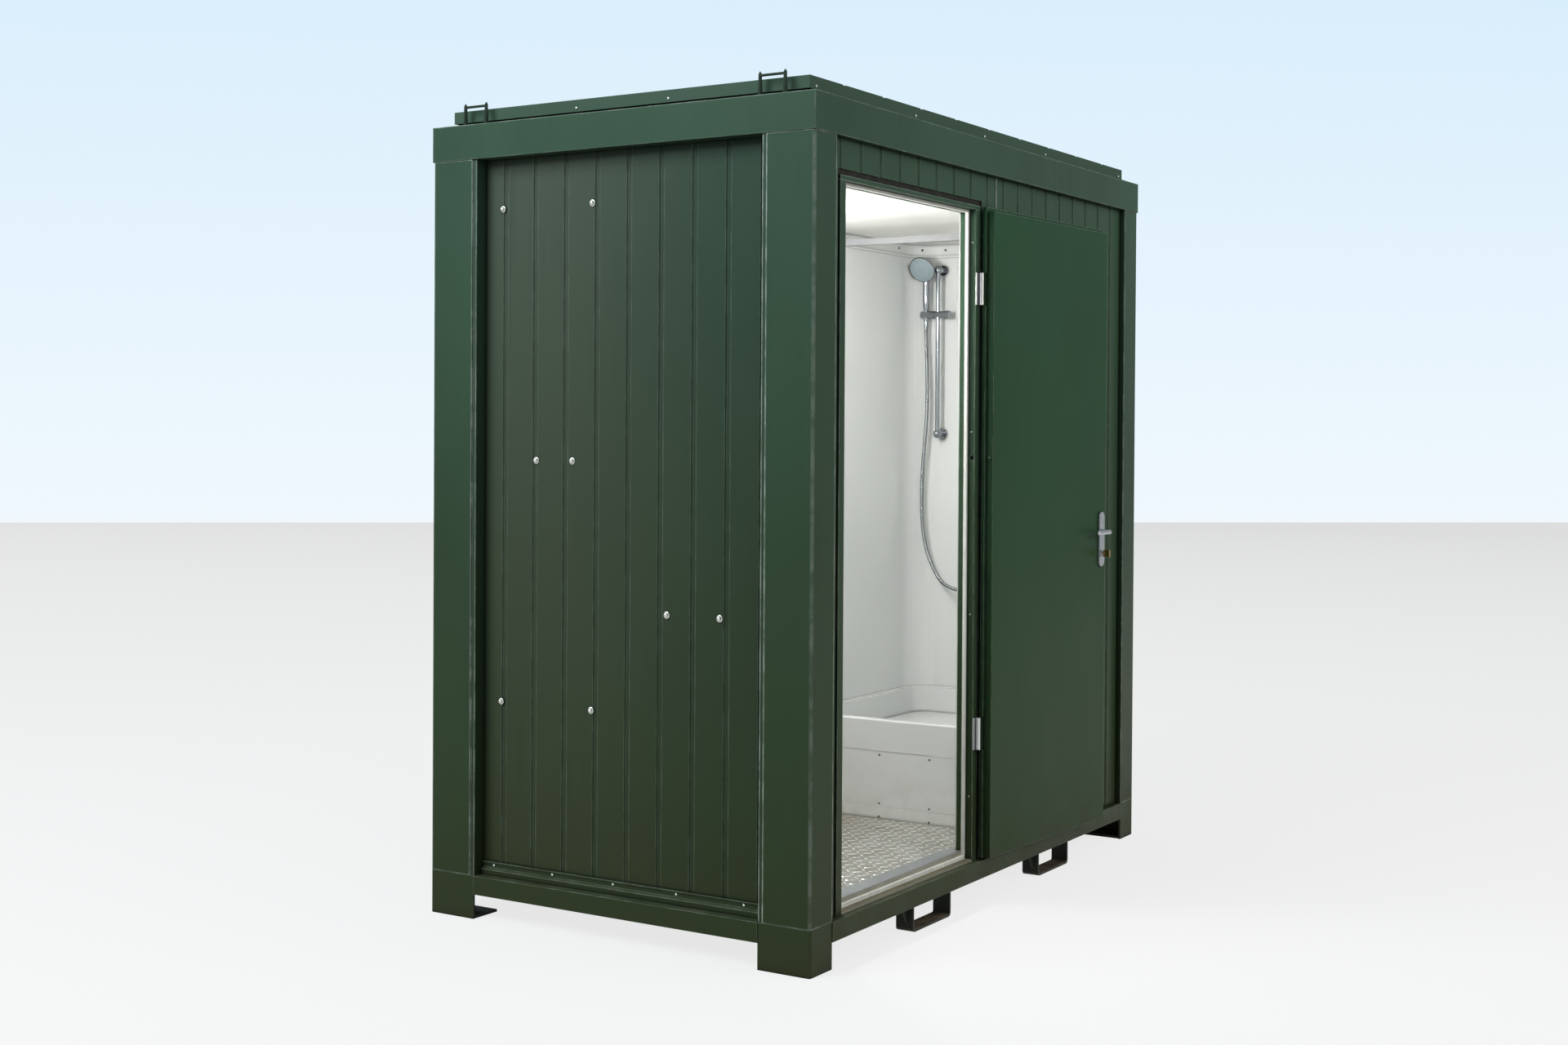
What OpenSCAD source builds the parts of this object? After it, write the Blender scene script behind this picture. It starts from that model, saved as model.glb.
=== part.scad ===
// Portable toilet and shower cabin: a welded steel frame on four corner feet,
// ribbed sheet walls, an insulated door that folds back against the front wall,
// and a wet room with a raised shower, a toilet, a basin and a water heater.
// X runs along the long side, the door is in the front (-Y) and Z is up.

/* [Body] */
// Length over the corner posts
body_l = 2400; // [2350:10:2800]
// Width over the corner posts
body_w = 1420; // [1400:10:1600]
// Height of the corner feet
foot_h = 137; // [130:1:160]
// Height of the corner posts between the feet and the upper beams
post_h = 2258; // [2250:1:2400]
// Face of a corner post on the front and rear
post_front = 121; // [100:1:140]
// Face of a corner post on the end walls
post_end = 177; // [150:1:190]
// Height of the lower beams
base_beam_h = 59; // [50:1:70]
// Height of the upper beams
roof_beam_h = 110; // [90:1:130]
// How far the beams stand out from the posts
beam_proud = 2; // [1:0.5:4]
// Thickness of the folded frame sections
frame_t = 3; // [2:0.5:4]

/* [Walls] */
// Recess of the end walls behind the posts
end_recess = 50; // [40:1:60]
// Recess of the front and rear walls behind the posts
side_recess = 22; // [18:1:26]
// Thickness of the outer sheet
skin_t = 1.5; // [1:0.25:2]
// Pitch of the pressed grooves in the end walls and the door wall
end_pitch = 120; // [110:1:130]
// Pitch of the pressed grooves in the front wall
front_pitch = 115.5; // [100:0.5:116]
// Width of a pressed groove
groove_w = 20; // [12:1:30]
// Depth of a pressed groove
groove_d = 4; // [2:0.5:5]
// Distance from the outer sheet to the inner face of the lining
wall_t = 55; // [50:1:65]
// Thickness of the inner lining
lining_t = 4; // [3:0.5:5]

/* [Roof] */
// Inset of the roof cap from the posts
cap_inset = 46; // [40:1:60]
// Height of the roof cap
cap_h = 37; // [30:1:45]
// Dark gap between the upper beams and the cap
cap_gap = 15; // [10:1:20]
// Distance of the ceiling below the upper beams
ceiling_drop = 95; // [80:1:110]

/* [Lifting and transport] */
// Inner width of a fork pocket
fork_w = 240; // [200:5:260]
// Distance between the centres of the two fork pockets
fork_pitch = 920; // [900:10:1100]
// Width of the strap that forms a fork pocket
strap_w = 60; // [50:5:80]
// Thickness of that strap
strap_t = 7; // [5:1:10]
// Distance between the two pins of a lifting bail
bail_pitch = 85; // [70:1:100]
// Height of the lifting pins
bail_h = 72; // [60:1:80]

/* [Door] */
// Clear distance between the two reveals of the door frame
reveal_w = 846; // [760:1:850]
// Distance of the head reveal below the upper beams
head_drop = 121; // [121:1:190]
// Distance of the left reveal from the end of the body
reveal_in = 208; // [200:1:220]
// Angle at which the door stands open
door_open = 177; // [150:1:177]
// Thickness of the lip that closes on the frame
lip_t = 12; // [8:1:14]
// Thickness of the leaf body inside the frame
leaf_t = 24; // [20:1:24]
// Overlap of the lip past the leaf body
lip_w = 12; // [8:1:14]
// Height of the lever handle above the feet
lever_h = 1053; // [980:1:1120]
// Distance from the lip edge to the lever spindle
backset = 52; // [50:1:60]
// Length of a lever grip
grip_l = 90; // [70:1:110]
// Diameter of a lever grip
grip_d = 16; // [12:1:18]
// How far a lever stands out from the leaf
lever_out = 45; // [42:1:50]
// Diameter of the hinge knuckles
knuckle_d = 15; // [12:1:16]
// Length of a door hinge
hinge_l = 105; // [80:1:120]

/* [Shower] */
// Front edge of the raised shower along the body
shower_x = 175; // [150:5:250]
// Depth of the shower measured across the body
shower_d = 813; // [780:1:850]
// Height of the tray rim above the ground
tray_rim = 521; // [480:1:540]
// Height of the tray upstand
tray_h = 112; // [100:1:130]
// Radius of the rounded corners of the shower lining
pod_r = 120; // [80:5:160]
// Distance of the top of the shower lining below the ceiling
pod_drop = 45; // [40:1:100]
// Diameter of the riser rail
rail_d = 18; // [16:1:22]
// Distance of the hand shower holder below the top of its rail
slider_drop = 174; // [170:1:290]
// Diameter of the shower hose
hose_d = 15; // [13:1:16]

/* [Sanitary ware] */
// Height of the toilet rim above the floor
pan_h = 402; // [390:1:430]
// Width of the toilet rim
pan_w = 360; // [340:5:380]
// Angle at which the toilet lid leans open
lid_open = 96; // [0:1:96]
// Height of the basin rim above the floor
basin_h = 850; // [800:5:880]
// Diameter of the water heater
heater_d = 390; // [350:5:410]
// Height of the water heater
heater_h = 800; // [700:10:820]

/* [Hidden] */

$fn = 48;
gap = 0.3;

// Finishes
moss = [0.19, 0.27, 0.20];
dark_moss = [0.15, 0.21, 0.15];
off_white = [0.93, 0.93, 0.90];
seal_white = [0.95, 0.95, 0.93];
steel = [0.72, 0.73, 0.74];
chrome = [0.85, 0.86, 0.88];
brass = [0.78, 0.62, 0.30];
black = [0.08, 0.08, 0.08];
wool = [0.20, 0.20, 0.18];
ceramic = [0.97, 0.97, 0.96];

// Frame levels and faces
hl = body_l / 2;
hw = body_w / 2;
base_z = foot_h - base_beam_h;
roof_z = foot_h + post_h;
top_z = roof_z + roof_beam_h;
end_flange = 110;
side_flange = 90;
foot_t = 8;
post_corner_r = 9;
post_step = 3;
post_step_w = 15;
foot_plate_l = 115;
joist_pitch = body_l * 0.175;
joist_w = 40;

// Wall planes
end_skin = hl - end_recess;
side_skin = hw - side_recess;
room_x = end_skin - wall_t + 2;
room_y = side_skin - wall_t;
skin_depth = skin_t + groove_d;
joint_w = 6;
joint_in = 149;

// Floor
deck_t = 28;
tread_t = 3;
floor_z = foot_h + deck_t + tread_t;
ceiling_z = roof_z - ceiling_drop;
ceiling_t = 8;

// Roof
cap_z = top_z + cap_gap;
cap_t = 2;
cap_rib_pitch = 240;
upstand_inset = 66;

// Door frame
reveal_top = roof_z - head_drop;
reveal_x = -hl + reveal_in;
reveal_r = reveal_x + reveal_w;
joint_x = reveal_r + joint_in;
flange_w = 31;
jamb_t = 2;
flange_y = -side_skin - 2;
stop_w = 9;
seal_t = 11;
seal_y = flange_y + leaf_t;
stop_y = seal_y + seal_t;
cut_gap = 12;
head_h = 14;
cut_top = reveal_top + head_h + 18;
sill_z = foot_h + 6;
sill_seal_z = foot_h + 15;

// Door leaf, drawn closed
leaf_gap = 1;
lip_gap = 0.5;
body_x0 = reveal_x + leaf_gap;
body_x1 = reveal_r - leaf_gap;
lip_x0 = body_x0 - lip_w;
lip_x1 = body_x1 + lip_w;
lip_y1 = flange_y - lip_gap;
lip_y0 = lip_y1 - lip_t;
body_y1 = lip_y1 + leaf_t;
leaf_z0 = sill_z + 3;
body_z1 = reveal_top - 3;
lip_z1 = body_z1 + 14;
leaf_mid_y = (lip_y1 + body_y1) / 2;

// Door hinges
hinge_x = lip_x1 + 10;
hinge_y = flange_y - 3.5 - knuckle_d / 2;
hinge_zs = [foot_h + 419, reveal_top - 258];
hinge_pin_d = 8;
hinge_plate_t = 3;
knuckle_gap = 0.5;
mid_share = 0.44;
hinge_mid = hinge_l * mid_share / 2;

// Lock
lever_z = foot_h + lever_h;
spindle_x = lip_x0 + backset;
turn_z = lever_z - 78;
spindle_d = 10;
plate_w = 42;
plate_t = 8;
plate_z0 = lever_z - 125;
plate_z1 = lever_z + 72;
case_t = 16;
case_z0 = lever_z - 130;
case_z1 = lever_z + 72;
forend_t = 3;
forend_w = 20;
latch_h = 20;
latch_w = 12;
latch_out = 14;
latch_l = 30;
bolt_h = 30;
bolt_l = 30;
barrel_d = 17;
turn_d = 8;
stud_z = lever_z + 272;
stud_d = 8;
stud_l = 6;

// Whole model stands with its bounding box centred on the origin
open_reach = [spindle_x - hinge_x, body_y1 + lever_out - grip_d / 2 - hinge_y];
front_reach = hinge_y + open_reach[0] * sin(door_open) + open_reach[1] * cos(door_open)
    - grip_d / 2;
front_shift = -(front_reach + hw + beam_proud) / 2;

// Shower
pod_top = ceiling_z - pod_drop;
pod_t = 5;
shower_y0 = -room_y + pod_t;
shower_y1 = shower_y0 + shower_d - pod_t;
shower_x1 = room_x - pod_t - 2;
tray_x0 = shower_x;
tray_z = tray_rim - tray_h;
tray_wall = 26;
rail_x = shower_x1 - 50;
rail_y = shower_y1 - 115;
rail_z1 = pod_top - 65;
rail_z0 = rail_z1 - 665;
slider_z = rail_z1 - slider_drop;
holder_y = rail_y + 53;
mixer_y = rail_y - 305;
mixer_z = tray_rim + 534;
mixer_x = shower_x1 - 55;
mixer_d = 44;
curtain_z = pod_top - 30;
panel_t = 4;
panel_set = 1;
head_tilt = 30;
holder_d = 32;
holder_bore = 20.6;

// Centre line of the shower hose, chosen by hand: down from the hand shower, then up to the mixer
hose_top = [rail_x, holder_y, slider_z - 34 - gap];
hose_end = [mixer_x, mixer_y, mixer_z - mixer_d / 2 - 12];
hose_fall = [[0, 0, 0], [0, 0, -31.7], [-2, -3, -96.7], [-4, -8, -207.7], [-8, -11, -321.7],
    [-10, -7, -426.7], [-10, 3, -531.7], [-10, 8, -619.7], [-10, 9, -724.7], [-10, 2, -829.7],
    [-10, -15, -909.7]];
hose_rise = [[-5, 313, -17], [-5, 280, -65], [-4, 243, -89], [-3, 205, -99], [-1, 150, -101],
    [0, 90, -92], [0, 40, -70], [0, 10, -41], [0, 0, -16], [0, 0, 0]];
hose_points = concat([for (p = hose_fall) hose_top + p], [for (p = hose_rise) hose_end + p]);

// Sanitary ware on the left end wall
toilet_y = room_y - 348;
pan_top = floor_z + pan_h;
pan_back = -room_x + 8;
pan_front = pan_back + 670;
seat_t = 18;
lid_t = 14;
lid_hinge_x = pan_back + 240;
lid_hinge_z = pan_top + seat_t / 2 + 6;
lid_pin_d = 8;
lid_pin_l = 220;
cistern_w = 380;
cistern_d = 172;
cistern_h = 350;
button_d = 40;
basin_y = -room_y + 365;
basin_z = floor_z + basin_h;
basin_w = 400;
basin_d = 300;
basin_depth = 150;
heater_z = ceiling_z - heater_h - 60;
waste_d = 110;
drain_d = 50;
inlet_d = 27;
drain_x = shower_x1 - 230;
drain_y = shower_y0 + 398;
spigot_l = 20;
collar_t = 4;
pipe_wall = 3;

// A box between two opposite corners
module block(a, b) {
    translate(a) cube(b - a);
}

// The cabin stands behind the origin by the reach of the open door
module placed() {
    translate([0, front_shift, 0]) children();
}

// One piece repeated at the four corners
module at_corners() {
    for (mx = [0, 1], my = [0, 1])
        mirror([mx, 0, 0]) mirror([0, my, 0]) children();
}

module at_both_ends() {
    for (mx = [0, 1]) mirror([mx, 0, 0]) children();
}

module front_and_rear() {
    for (my = [0, 1]) mirror([0, my, 0]) children();
}

// An outline drawn in Y and Z, run along X from x0 to x1
module along_x(x0, x1) {
    translate([x0, 0, 0]) rotate([90, 0, 90]) linear_extrude(x1 - x0) children();
}

// An outline drawn in X and Z, run along Y from y0 to y1
module along_y(y0, y1) {
    translate([0, y1, 0]) rotate([90, 0, 0]) linear_extrude(y1 - y0) children();
}

// A cylinder from z0 to z1
module post(d, z0, z1) {
    translate([0, 0, z0]) cylinder(d = d, h = z1 - z0);
}

// Cylinders lying along X and Y
module bar_x(d, x0, x1) {
    translate([x0, 0, 0]) rotate([0, 90, 0]) cylinder(d = d, h = x1 - x0);
}

module bar_y(d, y0, y1) {
    translate([0, y0, 0]) rotate([-90, 0, 0]) cylinder(d = d, h = y1 - y0);
}

// A low domed head standing on the plane z = 0
module dome(d, h) {
    rotate_extrude($fn = 24)
        polygon([[0, 0], [d / 2, 0], [d / 2, h * 0.3], [d * 0.36, h * 0.75], [0, h]]);
}

function unit(v) = v / norm(v);
function left(v) = [-v[1], v[0]];
function side(p, i) = left(unit(p[i + 1] - p[i]));
// Mitred offset of point i of a path, t to its left
function mitre(p, i, t) =
    let (n = len(p), a = side(p, max(i - 1, 0)), b = side(p, min(i, n - 2)))
    p[i] + (a + b) * t / (1 + a * b);
// Closed outline of a sheet of thickness t folded along a path
function folded(p, t) = concat(p, [for (i = [len(p) - 1:-1:0]) mitre(p, i, t)]);
// Points of an arc
function arc(c, r, a0, a1, n = 8) =
    [for (i = [0:n]) let (a = a0 + (a1 - a0) * i / n) c + r * [cos(a), sin(a)]];
// Rounded rectangle from corner p to corner q
function rounded(p, q, r, n = 8) = concat(
    arc([p[0] + r, p[1] + r], r, 180, 270, n), arc([q[0] - r, p[1] + r], r, 270, 360, n),
    arc([q[0] - r, q[1] - r], r, 0, 90, n), arc([p[0] + r, q[1] - r], r, 90, 180, n));
// Sheet line with pressed grooves at the given centres
function grooved(x0, x1, centres) = concat([[x0, 0]],
    [for (c = centres) each [[c - groove_w / 2, 0], [c - groove_w / 2 + groove_d, groove_d],
        [c + groove_w / 2 - groove_d, groove_d], [c + groove_w / 2, 0]]], [[x1, 0]]);
// Groove centres from a first one at a pitch, kept clear of the sheet's ends
function centres(first, pitch, x0, x1) =
    [for (x = [first:pitch:x1]) if (x - groove_w > x0 && x + groove_w < x1) x];
// C section, open to the right, with its web on the line x = 0
function c_section(depth, height) =
    folded([[depth, height], [0, height], [0, 0], [depth, 0]], frame_t);

// Corner outline of a post or foot: the body corner lies at the origin
function corner_outline(x, y) =
    concat([[x, y], [0, y]], arc([1, 1] * post_corner_r, post_corner_r, 180, 270), [[x, 0]]);

module base_frame() {
    color(moss) placed() {
        front_and_rear() translate([0, -hw - beam_proud, base_z])
            along_x(-hl + post_front, hl - post_front) polygon(c_section(side_flange, base_beam_h));
        at_both_ends() translate([-hl - beam_proud, 0, base_z])
            along_y(-hw + post_end, hw - post_end) polygon(c_section(end_flange, base_beam_h));
        joist_y = hw + beam_proud - side_flange;
        for (i = [-2:2]) translate([i * joist_pitch, 0, base_z])
            along_y(-joist_y, joist_y) polygon(c_section(joist_w, base_beam_h));
    }
}

module corner_feet() {
    color(moss) placed() at_corners() translate([-hl, -hw, 0]) {
        linear_extrude(foot_h) polygon(folded(concat([[0, post_end]],
            arc([1, 1] * post_corner_r, post_corner_r, 180, 270), [[post_front, 0]]), foot_t));
        linear_extrude(foot_t) polygon(corner_outline(foot_plate_l, post_end));
        translate([0, 0, foot_h - foot_t]) linear_extrude(foot_t)
            polygon(corner_outline(post_front, post_end));
    }
}

module fork_straps() {
    half = fork_w / 2 + strap_t;
    bend_r = 14;
    gusset = 30;
    color(dark_moss) placed() front_and_rear() for (side = [-1, 1])
        translate([side * fork_pitch / 2, 0, 0]) {
            along_y(-hw, -hw + strap_w) polygon(folded(concat([[-half, base_z]],
                arc([-half + bend_r, bend_r], bend_r, 180, 270),
                arc([half - bend_r, bend_r], bend_r, 270, 360), [[half, base_z]]), strap_t));
            for (mx = [0, 1]) mirror([mx, 0, 0]) along_y(-hw + strap_w / 3, -hw + strap_w / 3 + 6)
                polygon([[half, base_z], [half + gusset, base_z], [half, base_z * 0.3]]);
        }
}

module floor_deck() {
    color([0.55, 0.42, 0.28]) placed() difference() {
        block([-room_x, -room_y, foot_h], [room_x, room_y, foot_h + deck_t]);
        translate([drain_x, drain_y, foot_h - 1]) cylinder(d = drain_d, h = 1);
    }
}

module tread_plate() {
    color(steel) placed()
        block([-room_x, -room_y, foot_h + deck_t], [room_x, room_y, floor_z]);
}

module corner_posts() {
    color(moss) placed() at_corners() translate([-hl, -hw, foot_h]) linear_extrude(post_h)
        polygon(folded(concat([[end_recess + frame_t, post_end], [post_step, post_end],
            [post_step, post_end - post_step_w], [0, post_end - post_step_w]],
            arc([1, 1] * post_corner_r, post_corner_r, 180, 270),
            [[post_front, 0], [post_front, side_recess + frame_t]]), frame_t));
}

module roof_frame() {
    joist_h = 60;
    color(moss) placed() {
        front_and_rear() translate([0, -hw - beam_proud, roof_z])
            along_x(-hl - beam_proud, hl + beam_proud) polygon(c_section(side_flange, roof_beam_h));
        at_both_ends() translate([-hl - beam_proud, 0, roof_z])
            along_y(-hw - beam_proud, hw + beam_proud) polygon(c_section(end_flange, roof_beam_h));
        for (i = [-1:1]) translate([i * body_l / 4, 0, roof_z + frame_t])
            along_y(-hw, hw) polygon(c_section(joist_w, joist_h));
    }
}

module roof_upstand() {
    x = hl - upstand_inset;
    y = hw - upstand_inset;
    color(black) placed() difference() {
        block([-x, -y, top_z], [x, y, cap_z + cap_h - cap_t - groove_d]);
        block([-x + 4, -y + 4, top_z - 1], [x - 4, y - 4, cap_z + cap_h]);
    }
}

module roof_cap() {
    x = hl - cap_inset;
    y = hw - cap_inset;
    color(dark_moss) placed() {
        translate([0, 0, cap_z + cap_h]) along_y(-y, y) mirror([0, 1])
            polygon(folded(grooved(-x, x, centres(-4 * cap_rib_pitch, cap_rib_pitch, -x, x)), cap_t));
        difference() {
            block([-x, -y, cap_z], [x, y, cap_z + cap_h - cap_t]);
            block([-x + cap_t, -y + cap_t, cap_z - 1], [x - cap_t, y - cap_t, cap_z + cap_h]);
        }
    }
}

module lifting_bails() {
    pin_d = 10;
    bar_z = bail_h - 13;
    tip_h = 8;
    color(moss) placed() at_corners() translate([-hl + 22, -hw + 156, top_z]) {
        for (s = [-1, 1]) translate([0, s * bail_pitch / 2, 0]) rotate_extrude($fn = 24)
            polygon([[0, 0], [pin_d * 0.7, 0], [pin_d / 2, bail_h - tip_h], [0, bail_h]]);
        translate([0, 0, bar_z]) bar_y(8, -bail_pitch / 2, bail_pitch / 2);
    }
}

module end_walls() {
    y = hw - post_end;
    color(moss) placed() at_both_ends() translate([-end_skin, 0, foot_h]) rotate([0, 0, -90])
        linear_extrude(post_h) polygon(folded(grooved(-y, y, centres(-453, end_pitch, -y, y)), skin_t));
}

module rear_wall() {
    x = hl - post_front;
    color(moss) placed() difference() {
        translate([0, side_skin, foot_h]) mirror([0, 1, 0]) linear_extrude(post_h)
            polygon(folded(grooved(-x, x, centres(-hl + 240, end_pitch, -x, x)), skin_t));
        wall_holes();
    }
}

module front_wall() {
    x0 = joint_x + joint_w / 2;
    x1 = hl - post_front;
    color(moss) placed() translate([0, -side_skin, foot_h]) linear_extrude(post_h)
        polygon(folded(grooved(x0, x1, centres(joint_x + 53, front_pitch, x0, x1)), skin_t));
}

module door_wall() {
    x0 = -hl + post_front;
    x1 = joint_x - joint_w / 2;
    color(moss) placed() difference() {
        translate([0, -side_skin, foot_h]) linear_extrude(post_h)
            polygon(folded(grooved(x0, x1, centres(joint_x - 68 - 8 * end_pitch, end_pitch, x0, x1)), skin_t));
        block([reveal_x - flange_w - cut_gap, -side_skin - 1, foot_h - 1],
            [reveal_r + flange_w + cut_gap, -side_skin + skin_depth + 1, cut_top]);
    }
}

module joint_strips() {
    cap_w = 14;
    color(moss) placed() translate([joint_x, -side_skin, foot_h]) linear_extrude(post_h) {
        translate([-cap_w / 2, -1.5]) square([cap_w, 1.5]);
        translate([-joint_w / 2, -0.5]) square([joint_w, 4]);
    }
}

// Holes through the rear wall for the pipes
module wall_holes() {
    for (p = pipe_ends) translate([p[0], room_y - lining_t, p[1]])
        bar_y(p[2] - 2 * pipe_wall + 2 * gap, -1 - lining_t, wall_t + lining_t + 4);
}

// Place along X, height and diameter of each pipe stub on the rear wall
pipe_ends = [[-room_x + 107, floor_z + 190, waste_d], [shower_x + 425, floor_z + 62, drain_d],
    [-room_x + 537, heater_z - 90, inlet_d]];

module insulation() {
    x = room_x + lining_t;
    y = room_y + lining_t;
    color(wool) placed() {
        at_both_ends() block([-end_skin + skin_depth, -hw + post_end, foot_h],
            [-x, hw - post_end, roof_z]);
        difference() {
            union() front_and_rear() block([-hl + post_front, -side_skin + skin_depth, foot_h],
                [hl - post_front, -y, roof_z]);
            block([reveal_x - flange_w - 2, -side_skin, foot_h - 1],
                [reveal_r + flange_w + 2, -room_y, reveal_top + head_h + 2]);
            wall_holes();
        }
        block([-x, -y, ceiling_z + ceiling_t], [x, y, roof_z - 2]);
    }
}

module wall_linings() {
    x = room_x + lining_t;
    y = room_y + lining_t;
    color(off_white) placed() difference() {
        block([-x, -y, foot_h], [x, y, ceiling_z]);
        block([-room_x, -room_y, foot_h - 1], [room_x, room_y, ceiling_z + 1]);
        block([reveal_x + stop_w - 2, -y - 1, foot_h - 1],
            [reveal_r - stop_w + 2, -room_y + 1, reveal_top - stop_w + 2]);
        wall_holes();
    }
}

module ceiling_panel() {
    x = room_x + lining_t;
    y = room_y + lining_t;
    color(off_white) placed() block([-x, -y, ceiling_z], [x, y, ceiling_z + ceiling_t]);
}

module ceiling_light() {
    light_d = 300;
    color([1, 1, 0.96]) placed() translate([(shower_x - room_x) / 2, 0, ceiling_z]) mirror([0, 0, 1]) rotate_extrude()
        polygon(concat([[0, 0], [light_d / 2, 0], [light_d / 2, 20]],
            arc([light_d / 2 - 30, 25], 25, 0, 90), [[0, 55]]));
}

module base_flashings() {
    y = hw - post_end;
    wall = end_skin;
    color(moss) placed() at_both_ends() along_y(-y, y) polygon([[-wall, foot_h],
        [-wall - 16, foot_h], [-wall - 16, foot_h + 17], [-wall - 7, foot_h + 23],
        [-wall - 7, foot_h + 36], [-wall - 9, foot_h + 36], [-wall - 9, foot_h + 41],
        [-wall, foot_h + 41]]);
}

// Distance from the middle of the end wall and height of each fixing bolt
bolt_places = concat(
    [for (dy = [180, -173]) [toilet_y + dy, heater_z + heater_h - 2]],
    [for (dy = [42, -99]) [toilet_y + dy, heater_z + 10]],
    [for (dy = [180, -176]) [toilet_y + dy, pan_top + 118]],
    [for (dy = [95, -95]) [basin_y + dy, basin_z - 23]]);

module wall_bolts() {
    color([0.88, 0.88, 0.85]) placed() for (p = bolt_places)
        translate([-end_skin, p[0], p[1]]) rotate([0, -90, 0]) {
            dome(22, 3);
            translate([0, 0, 1]) dome(15, 8);
        }
}

module sheet_screws() {
    cap_face_x = hl - cap_inset;
    cap_face_y = hw - cap_inset;
    head_d = 9;
    color([0.88, 0.88, 0.85]) placed() {
        for (k = [0.91, 0.47, 0.03, -0.41, -0.86]) at_both_ends()
            translate([-end_skin - 7, k * (hw - post_end), foot_h + 30]) rotate([0, -90, 0]) dome(head_d, 3);
        for (k = [-0.26, 0.26]) at_both_ends()
            translate([-cap_face_x, k * cap_face_y, cap_z + 11]) rotate([0, -90, 0]) dome(head_d, 3);
        for (k = [-0.97, -0.45, -0.03, 0.39, 0.97]) front_and_rear()
            translate([k * cap_face_x, -cap_face_y, cap_z + 9]) rotate([90, 0, 0]) dome(head_d, 3);
        for (k = [0.1, 0.38, 0.66, 0.95]) let (z = foot_h + k * (reveal_top - foot_h)) {
            translate([reveal_r, flange_y + leaf_t / 2, z]) rotate([0, -90, 0]) dome(5, 0.6);
            translate([reveal_x, flange_y + leaf_t / 2, z]) rotate([0, 90, 0]) dome(5, 0.6);
        }
        for (y = [shower_y0 + 466, shower_y0 + 265]) {
            translate([shower_x, y, floor_z + 7]) rotate([0, -90, 0]) dome(7, 2);
            for (z = [floor_z + 54, tray_z - 14])
                translate([shower_x + panel_set, y, z]) rotate([0, -90, 0]) dome(7, 2);
        }
    }
}

// Plan outline of the left jamb, folded from sheet
jamb_path = [[reveal_x - flange_w, flange_y + 26], [reveal_x - flange_w, flange_y],
    [reveal_x, flange_y], [reveal_x, stop_y], [reveal_x + stop_w, stop_y],
    [reveal_x + stop_w, -room_y - lining_t], [reveal_x - flange_w, -room_y - lining_t]];

module jamb() {
    translate([0, 0, foot_h]) linear_extrude(reveal_top - foot_h) polygon(folded(jamb_path, jamb_t));
}

// The strike plate fills a window in the left jamb
module strike_window() {
    block([reveal_x - jamb_t, leaf_mid_y - forend_w / 2, case_z0 - 8],
        [reveal_x, leaf_mid_y + forend_w / 2, case_z1 + 8]);
}

module left_jamb() {
    color(moss) placed() difference() {
        jamb();
        strike_window();
    }
}

module right_jamb() {
    color(moss) placed() difference() {
        translate([reveal_x + reveal_r, 0, 0]) mirror([1, 0, 0]) jamb();
        translate([reveal_r, leaf_mid_y - 2, stud_z]) bar_x(stud_d * 2, -1, jamb_t + 1);
    }
}

module door_head() {
    head_path = [[flange_y + 26, head_h], [flange_y, head_h], [flange_y, 0],
        [-room_y - lining_t, 0], [-room_y - lining_t, head_h]];
    color(moss) placed() translate([0, 0, reveal_top]) {
        along_x(reveal_x - flange_w, reveal_r + flange_w) polygon(folded(head_path, jamb_t));
        block([reveal_x + stop_w, stop_y, -stop_w],
            [reveal_r - stop_w, -room_y - lining_t, 0]);
    }
}

module door_sill() {
    color([0.62, 0.60, 0.54]) placed() {
        along_x(reveal_x, reveal_r) polygon(folded([[stop_y, sill_z], [flange_y, sill_z],
            [flange_y, foot_h]], jamb_t));
        along_x(reveal_x + stop_w, reveal_r - stop_w) polygon(folded([[-room_y, floor_z],
            [stop_y, floor_z], [stop_y, foot_h]], jamb_t));
    }
}

module door_gasket() {
    color(seal_white) placed() {
        for (x = [reveal_x, reveal_r - stop_w])
            block([x, seal_y, sill_z], [x + stop_w, stop_y, reveal_top]);
        block([reveal_x, seal_y, reveal_top - stop_w], [reveal_r, stop_y, reveal_top]);
        block([reveal_x, seal_y, sill_seal_z], [reveal_r, stop_y, floor_z - 3]);
    }
}

module strike_plate() {
    clear = 2;
    color(steel) placed() difference() {
        strike_window();
        block([reveal_x - jamb_t - 1, leaf_mid_y - latch_w / 2 - clear, lever_z - latch_h / 2 - clear],
            [reveal_x + 1, leaf_mid_y + latch_w / 2 + clear, lever_z + latch_h / 2 + clear]);
        block([reveal_x - jamb_t - 1, leaf_mid_y - latch_w / 2 - clear, turn_z - bolt_h / 2 - clear],
            [reveal_x + 1, leaf_mid_y + latch_w / 2 + clear, turn_z + bolt_h / 2 + clear]);
    }
}

// A knuckle of the door hinge between two levels above its middle
module knuckle(z0, z1, bore) {
    translate([hinge_x, hinge_y, 0]) difference() {
        post(knuckle_d, z0, z1);
        post(bore, z0 - 1, z1 + 1);
    }
}

module frame_hinges() {
    plate_x = reveal_r;
    plate_end = reveal_r + flange_w - 2;
    color(steel) placed() for (z = hinge_zs) translate([0, 0, z]) {
        block([plate_x, flange_y - hinge_plate_t, -hinge_l / 2], [plate_end, flange_y, hinge_l / 2]);
        for (m = [0, 1]) mirror([0, 0, m]) {
            difference() {
                union() {
                    knuckle(hinge_mid + knuckle_gap, hinge_l / 2, hinge_pin_d);
                    block([hinge_x, hinge_y, hinge_mid + knuckle_gap],
                        [hinge_x + knuckle_d / 2, flange_y, hinge_l / 2]);
                }
                translate([hinge_x, hinge_y, 0]) post(hinge_pin_d, 0, hinge_l);
            }
        }
        translate([hinge_x, hinge_y, 0]) post(hinge_pin_d, -hinge_l / 2, hinge_l / 2);
    }
}

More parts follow.
